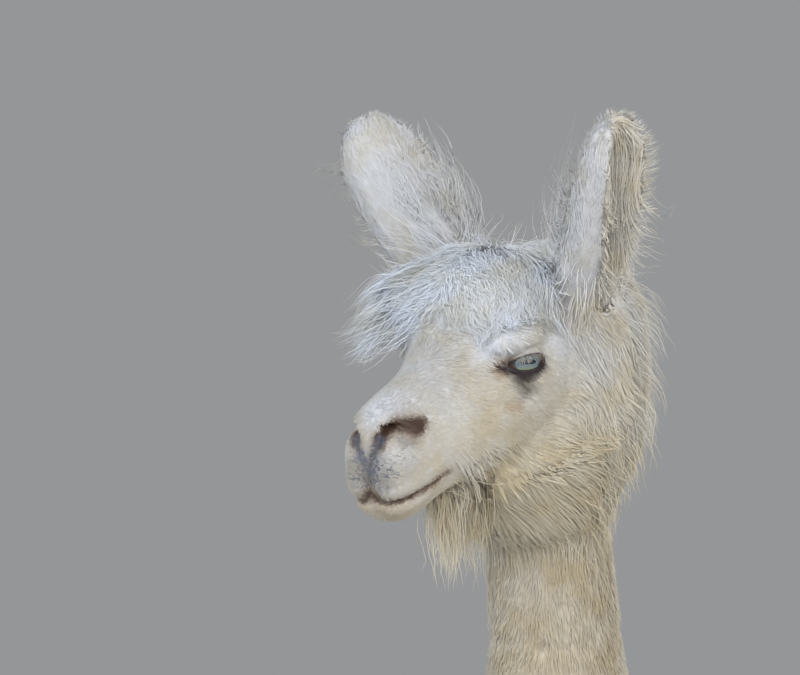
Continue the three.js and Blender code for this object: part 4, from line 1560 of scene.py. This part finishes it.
def mesh_of_triangles(name, points, triangles):
    mesh = bpy.data.meshes.new(name)
    mesh.vertices.add(len(points))
    mesh.vertices.foreach_set("co", np.asarray(points, np.float32).ravel())
    mesh.loops.add(len(triangles) * 3)
    mesh.loops.foreach_set("vertex_index", np.asarray(triangles, np.int32).ravel())
    mesh.polygons.add(len(triangles))
    mesh.polygons.foreach_set("loop_start", np.arange(0, len(triangles) * 3, 3, dtype=np.int32))
    mesh.update(calc_edges=True)
    return smooth_shaded(mesh)


def strand_mesh(name, path, outs, wide, taper, tint, around, rng):
    """Closed three-sided strands along the given middle lines, flat to the skin and pointed at the tip."""
    count, rings = path.shape[0], path.shape[1] - 1
    t = np.arange(rings) / rings
    forward = tangents(path)[:, :rings]
    out = outs[:, :rings]
    across = unit(np.cross(out, forward))
    rise = unit(np.cross(forward, across))
    half = (wide[:, None] / 2) * (1 - t[None] ** taper * 0.8)
    corners = np.array([(-1.0, 0.0), (1.0, 0.0), (0.0, 0.4)])
    radial = across[:, :, None] * corners[None, None, :, :1] + rise[:, :, None] * corners[None, None, :, 1:]
    ring_points = path[:, :rings, None] + radial * half[:, :, None, None]
    points = np.concatenate([ring_points.reshape(count, -1, 3), path[:, -1:]], axis=1)
    each = rings * 3 + 1
    triangles = [(0, 2, 1)]
    for k in range(rings):
        for i in range(3):
            j = (i + 1) % 3
            a, b = 3 * k + i, 3 * k + j
            if k == rings - 1:
                triangles.append((a, b, each - 1))
            else:
                triangles += [(a, b, b + 3), (a, b + 3, a + 3)]
    triangles = np.array(triangles)
    everything = (triangles[None] + (np.arange(count) * each)[:, None, None]).reshape(-1, 3)
    mesh = mesh_of_triangles(name, points.reshape(-1, 3), everything)
    strand = np.concatenate([
        np.stack([np.tile([0, 1, 0.5], rings), np.repeat(t, 3)], axis=1), [[0.5, 1.0]]
    ])
    corner = everything.ravel()
    local = strand[corner % each]
    owner = corner // each
    shift = rng.random(count)[owner] * 40
    add_map(mesh, "Strand", np.stack([local[:, 0] + shift, local[:, 1]], axis=1))
    add_bake_map(mesh, path[:, 0][owner], local, around)
    store(mesh, "tint", np.repeat(np.column_stack([tint, np.ones(count)]), each, axis=0), "FLOAT_COLOR")
    store(mesh, "shade", np.repeat(rng.random(count), each))
    facing = np.concatenate([np.repeat(out, 3, axis=1), outs[:, -1:]], axis=1).reshape(-1, 3)
    soften(mesh, facing)
    mesh.materials.append(material_of("Coat hair", coat_material))
    return mesh


def soften(mesh, facing, share=0.85):
    """Turns a tuft's shading towards the skin below it, as light passes through real hair."""
    shading = unit(normals_of(mesh) * (1 - share) + unit(facing) * share)
    store(mesh, "custom_normal", shading, "FLOAT_VECTOR")


def eyelashes(sign, upper, count, rng):
    """The middle lines of one lid's lashes, in the row frame, and the way out from the eye along each."""
    side, up = lid_edge(400)
    keep = np.nonzero(((up > LID_LEVEL) == upper) & (side > 28) & (side < 112))[0]
    picked = rng.choice(keep, count)
    side = np.radians(side[picked] + rng.normal(0, 1, count))
    up = np.radians(up[picked] + (1.5 if upper else -1.5))
    ray = eye_rays(sign, side, up)
    root = np.array([sign * EYE_SIDE, EYE_BACK, 0]) + ray * (EYE_RADIUS + 2.0)
    long = rng.uniform(0.7, 1.15, count)[:, None] * (12 if upper else 8)
    fall = np.array([0, 0, -0.75 if upper else -0.55]) + rng.normal(0, 0.12, (count, 3))
    t = np.linspace(0, 1, 5)[None, :, None]
    path = root[:, None] + long[:, None] * (ray[:, None] * (t - 0.25 * t**2) + fall[:, None] * t**1.2)
    outs = np.repeat(turn_from_head(unit(ray + (0, 0, 0.6)))[:, None], 5, axis=1)
    return from_head(path.reshape(-1, 3)).reshape(path.shape), outs


LONG_COAT_SEED = 700
LASH_SEED = 770
UPPER_LASHES = 70
LOWER_LASHES = 110


class LLAMA_OT_long_coat(bpy.types.Operator):
    """Grow the ruff, forelock, beard, ear fringes and tail as combed locks"""

    bl_idname = "llama.long_coat"
    bl_label = "Long coat"

    def execute(self, context):
        growth = grown(bpy.data.objects["skin"])
        comb = Comb(growth)
        head, points = growth.head, growth.points
        left, back, up = head.T
        ruff, forelock = growth.share("neck_ruff"), growth.share("forelock")
        ear, beard = growth.share("ear"), growth.share("beard")
        depth = growth.depth / MM
        even = 1 - growth.creased()
        past_eye = ramp(np.linalg.norm(growth.folded - (EYE_SIDE, EYE_BACK, 0), axis=1), 34, 64)
        hem = ramp(-up, 95, 150) * ramp(back, 20, 70)
        rear_cheek = growth.share("head") * ramp(back, -45, 25) * ramp(-up, -45, 10) * ramp(past_eye, 0.5, 1)
        wool = growth.wool
        far = ramp(-left, 20, 62)
        crown = ramp(back, 22, 58)
        mat = (1 - far) * (1 - crown)
        band = fade(up - 68 + 0.22 * np.abs(left), 10) * ramp(-back, -52, -36) * (1 - far)
        jaw = growth.share("head", "beard") * ramp(-up, 50, 68) * ramp(back, -98, -66) * ramp(-back, -30, 0)
        inside, along = growth.ear_inside, growth.ear_along
        foot_of_ear = growth.share("ear") * ramp(-along, -0.4, -0.05)
        ear = ear * (1 - ramp(growth.ear_crease, 0.05, 0.25))
        root = ramp(-along, -0.3, -0.1)
        edge = fade(inside - 0.45, 0.25) * ear
        rim = edge * np.maximum(ramp(-growth.ear_fore, -0.3, 0.2), along > 0.93)
        axis = turn_from_head(unit(EAR_TIP - EAR_ROOT))
        beside = np.where(left[:, None] > 0, 1, -1) * turn_from_head((1.0, 0, 0))
        open_side = beside * 0.6 + (0, -0.55, 0.4)
        below = np.tile((0, -0.45, 0.6), (len(points), 1))
        upright = growth.normals * (1 - crown)[:, None] + below * crown[:, None]
        medial = ear * (1 - inside) * ramp(-growth.ear_side, 0.1, 0.5) * ramp(-along, -0.8, -0.3)
        tail_end = points[growth.share("tail") > 0.5, 2].min()
        outward = growth.normals @ turn_from_head((1.0, 0, 0)) * np.sign(left)
        styles = {
            "coat_forelock": dict(
                where=wool, count=3200, long=(28 + 26 * far + 20 * crown) * (0.35 + 0.65 * past_eye),
                high=2 + (5.5 + 8 * far + 7 * crown) * wool, wide=1.2, steps=5, locks=700, hold=0.3,
                curl=0.8 + 2.2 * mat + 3.4 * far, turns=0.9 + 2.2 * mat, stray=0.2, follow=0.35,
                droop=0.12, towards=upright, replaces=("forelock",)),
            "coat_fluff": dict(
                where=wool * far * ramp(-back, -30, 0), count=560, long=52.0, high=10.0, wide=0.9,
                steps=6, locks=120, hold=0.5, curl=8.0, turns=0.8, way=unit(beside + growth.lie * 0.6),
                lift=0.5, stray=0.25, free=True, droop=0.3, uneven=0.5),
            "coat_crimp": dict(
                where=wool * band, count=520, long=30 * (0.35 + 0.65 * past_eye), high=8.0, wide=1.2,
                steps=6, locks=80, hold=0.8, curl=5.0, turns=2.4, lift=0.35, stray=0.3, follow=0.3,
                droop=0.1),
            "coat_beard": dict(
                where=beard * ramp(-back, 20, 45), count=420, long=80.0, high=6.0, wide=1.0, steps=6,
                locks=120, hold=0.4, uneven=0.6, curl=6.0, turns=1.1, follow=0.1, droop=1.1, stick=0.0,
                stray=0.3, towards=below, replaces=("beard",)),
            "coat_jaw": dict(
                where=jaw * even, count=1500, long=34.0, high=4.0, wide=1.1, steps=4, locks=240,
                hold=0.35, uneven=0.5, curl=2.2, turns=0.8, lift=0.1, follow=0.3, droop=0.28, stray=0.12,
                free=True, towards=below),
            "coat_ear_locks": dict(
                where=ear * (inside + root * (0.2 + inside)), count=1900, long=34 + 6 * along,
                high=2.5 + 4.5 * inside, wide=1.2, steps=4, locks=300, hold=0.45, curl=0.9, turns=0.7,
                lift=0.2, stick=0.4, towards=open_side, around="ears", slot="ear_coat"),
            "coat_ear_skirt": dict(
                where=foot_of_ear * (0.4 + ramp(growth.ear_fore, -0.3, 0.3)), count=520,
                long=26 + 6 * inside, high=9.0, wide=0.9, steps=4, locks=160, hold=0.3, curl=2.4,
                turns=0.8, way=unit(growth.ear_out * 0.25 - axis), lift=0.12, stray=0.28, free=True,
                droop=0.2, uneven=0.6, towards=open_side, around="ears", slot="ear_coat"),
            "coat_ear_fringe": dict(
                where=ear * ramp(inside, 0.4, 0.6) * (along > 0.25) * (along < 0.95), count=900,
                long=62.0, high=11.0, wide=0.7, stray=0.05, steps=6, locks=60, hold=0.5, curl=2.2,
                turns=0.6, way=unit(beside * 0.25 - axis), lift=0.15, stick=0.1, follow=0.35, droop=0.1,
                uneven=0.5, towards=open_side, around="ears", slot="ear_coat"),
            "coat_ear_rims": dict(
                where=rim, count=1600, long=(11 + 6 * (left > 0)) * (1 - 0.5 * ramp(along, 0.75, 0.95)),
                high=5.0, wide=0.8, steps=3, locks=500, hold=0.2, curl=1.4, turns=0.6,
                way=unit(growth.ear_out + axis * 0.7 + beside * 0.3), lift=0.25, stray=0.25, free=True,
                droop=0.0, around="ears", slot="ear_coat"),
            "coat_wisps": dict(
                where=1.6 * medial + 0.8 * forelock * crown, count=560, long=52.0, high=10.0, wide=0.7,
                steps=6, locks=200, hold=0.5, curl=6.5, turns=0.9, lift=0.6, stray=0.3, free=True,
                droop=0.15, uneven=0.6),
            "coat_ruff_fringe": dict(
                where=ruff * (0.15 + ramp(outward, 0.1, 0.8)) * ramp(back, 20, 60), count=1100, long=46.0,
                high=9.0, wide=0.9, steps=5, locks=260, hold=0.5, curl=5.0, turns=0.7, lift=0.45,
                stray=0.2, follow=0.25, free=True, droop=0.0, uneven=0.5),
            "coat_tail": dict(
                where=growth.share("tail") * ramp(points[:, 2], tail_end + 0.02, tail_end + 0.06),
                count=900, long=85.0, high=12.0, wide=6.0, steps=5, locks=260, hold=0.6, curl=3.0,
                turns=1.0, lift=0.1, droop=0.5, free=True, towards=growth.normals, around="trunk"),
        }
        for side, sign in SIDES.items():
            styles[f"coat_ruff_{side}"] = dict(
                where=(ruff + 1.3 * rear_cheek) * even * (left * sign > 0), count=3400,
                long=28 + 26 * np.clip(depth / 11, 0, 1) + 12 * hem, high=depth * 0.7, wide=0.95, steps=4,
                locks=620, hold=0.35, curl=1.8, turns=0.8, stray=0.13,
                replaces=("neck_ruff",) if sign > 0 else ())
        plain = dict(
            uneven=0.3, lift=0.25, stray=0.08, follow=0.5, droop=0.15, stick=0.5, free=False,
            towards=None, way=growth.lie, slot="long_wool", around="head", replaces=())
        for number, (name, given) in enumerate(styles.items()):
            style = {**plain, **given}
            rng = np.random.default_rng(LONG_COAT_SEED + number)
            where = np.where(style["where"] > 0.03, style["where"], 0)
            corners, shares = comb.scatter(where, style["count"], rng)

            def at_roots(values):
                values = values if values.ndim > 1 else values[:, None]
                return (values[corners] * shares[:, :, None]).sum(axis=1)

            for key in ("long", "high", "curl", "turns"):
                if isinstance(style[key], np.ndarray):
                    style[key] = at_roots(style[key])[:, 0]
            ways, ups = unit(at_roots(style["way"])), unit(at_roots(growth.normals))
            path, outs = comb.grow(at_roots(points), ways, ups, style, rng)
            if isinstance(style["towards"], np.ndarray):
                outs = unit(outs * 0.3 + at_roots(style["towards"])[:, None])
            elif style["free"]:
                outs = unit(outs * 0.4 + (0, -0.45, 0.6))
            path, leader = in_locks(path, style["locks"], style["hold"], rng)
            count = style["count"]
            phase = rng.random(count)
            turns = style["turns"] * rng.uniform(0.6, 1.3, count)
            amount = style["curl"] * rng.uniform(0.4, 1.2, count) * MM
            path = curled(path, outs, amount[leader], turns[leader], phase[leader] + 0.06 * phase)
            wide = style["wide"] * rng.uniform(0.6, 1.2, count) * MM
            mesh = strand_mesh(name, path, outs, wide, 1.4, at_roots(growth.tint), style["around"], rng)
            piece = new_object(name, mesh)
            if style["replaces"]:
                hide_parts(*style["replaces"])
            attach(piece, BODY)
        rng = np.random.default_rng(LASH_SEED)
        lids = [(sign, upper) for sign in SIDES.values() for upper in (True, False)]
        parts = [eyelashes(sign, upper, UPPER_LASHES if upper else LOWER_LASHES, rng) for sign, upper in lids]
        path, outs = (np.concatenate(part) for part in zip(*parts))
        tones = [LASH_PALE if upper else COAT_DARK_AND_SHADE for _, upper in lids]
        tint = np.repeat(tones, [len(part[0]) for part in parts], axis=0)
        mesh = strand_mesh("lashes", path, outs, np.full(len(path), 0.42 * MM), 1.2, tint, "head", rng)
        piece = new_object("lashes", mesh)
        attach(piece, BODY)
        return {"FINISHED"}


class LLAMA_OT_stage(bpy.types.Operator):
    """Set up the floor, the studio lights and the camera"""

    bl_idname = "llama.stage"
    bl_label = "Stage"

    def execute(self, context):
        settings = context.scene.llama_stage
        add_floor(settings)
        add_camera(settings)
        add_lights(settings)
        return {"FINISHED"}


CAMERA_TARGET = (-0.0639, -0.6071, 1.6224)


def add_camera(settings):
    a, e = settings.azimuth, settings.elevation
    back = Vector((math.sin(a) * math.cos(e), -math.cos(a) * math.cos(e), math.sin(e)))
    camera = bpy.data.cameras.new("camera")
    camera.lens = settings.lens
    camera.sensor_width = 36
    piece = bpy.data.objects.new("camera", camera)
    piece.location = Vector(CAMERA_TARGET) + back * settings.distance
    piece.rotation_euler = back.to_track_quat("Z", "Y").to_euler()
    bpy.context.scene.collection.objects.link(piece)
    bpy.context.scene.camera = piece


def add_floor(settings):
    work = bmesh.new()
    bmesh.ops.create_circle(work, cap_ends=True, segments=96, radius=settings.floor_radius)
    mesh = bpy.data.meshes.new("floor")
    work.to_mesh(mesh)
    work.free()
    floor = new_object("floor", mesh)
    material, _, _ = new_material("Studio floor", Base_Color=(*settings.floor, 1), Roughness=0.8)
    mesh.materials.append(material)


def add_area(name, where, towards, size, power, tint):
    light = bpy.data.lights.new(name, "AREA")
    light.shape = "DISK"
    light.size = size
    light.energy = power
    light.color = tint
    piece = bpy.data.objects.new(name, light)
    piece.location = where
    piece.rotation_euler = (Vector(where) - Vector(towards)).to_track_quat("Z", "Y").to_euler()
    bpy.context.scene.collection.objects.link(piece)


def add_lights(settings):
    add_area("key", (-3.3, -4.3, 4.7), (0, -0.4, 1.4), 5.0, settings.key_power, (0.87, 0.93, 1.0))
    add_area("front", (1.8, -5.4, 3.2), (0, -0.4, 1.3), 4.0, settings.front_power, (0.98, 0.98, 1.0))
    add_area("fill", (5.4, -2.6, 3.2), (0, -0.3, 1.2), 5.0, settings.fill_power, (1.0, 0.95, 0.86))
    add_area("rim", (0.9, 4.8, 4.4), (0, 0, 1.0), 4.4, settings.rim_power, (1.0, 0.98, 0.95))
    world = bpy.data.worlds.new("studio")
    world.use_nodes = True
    world.node_tree.nodes["Background"].inputs["Color"].default_value = (*settings.air, 1)
    bpy.context.scene.world = world
    bpy.context.scene.view_settings.view_transform = "Standard"


SETTINGS = {"llama_skin": LlamaSkinSettings, "llama_stage": LlamaStageSettings}
OPERATORS = [
    LLAMA_OT_stage, LLAMA_OT_skin, LLAMA_OT_eyes, LLAMA_OT_nails, LLAMA_OT_short_coat, LLAMA_OT_long_coat,
]


class LLAMA_PT_panel(bpy.types.Panel):
    """Lists the pieces in the order in which they are made"""

    bl_idname = "LLAMA_PT_panel"
    bl_label = "Llama"
    bl_space_type = "VIEW_3D"
    bl_region_type = "UI"
    bl_category = "Llama"

    def draw(self, context):
        for name, group in SETTINGS.items():
            box = self.layout.box()
            for setting in group.__annotations__:
                box.prop(getattr(context.scene, name), setting)
        for operator in OPERATORS:
            self.layout.operator(operator.bl_idname)


CLASSES = (*SETTINGS.values(), *OPERATORS, LLAMA_PT_panel)


def register():
    for item in CLASSES:
        bpy.utils.register_class(item)
    for name, group in SETTINGS.items():
        setattr(bpy.types.Scene, name, bpy.props.PointerProperty(type=group))


def unregister():
    for name in SETTINGS:
        delattr(bpy.types.Scene, name)
    for item in reversed(CLASSES):
        bpy.utils.unregister_class(item)


def main():
    register()
    for operator in OPERATORS:
        group, name = operator.bl_idname.split(".")
        getattr(getattr(bpy.ops, group), name)()


if __name__ == "__main__":
    main()
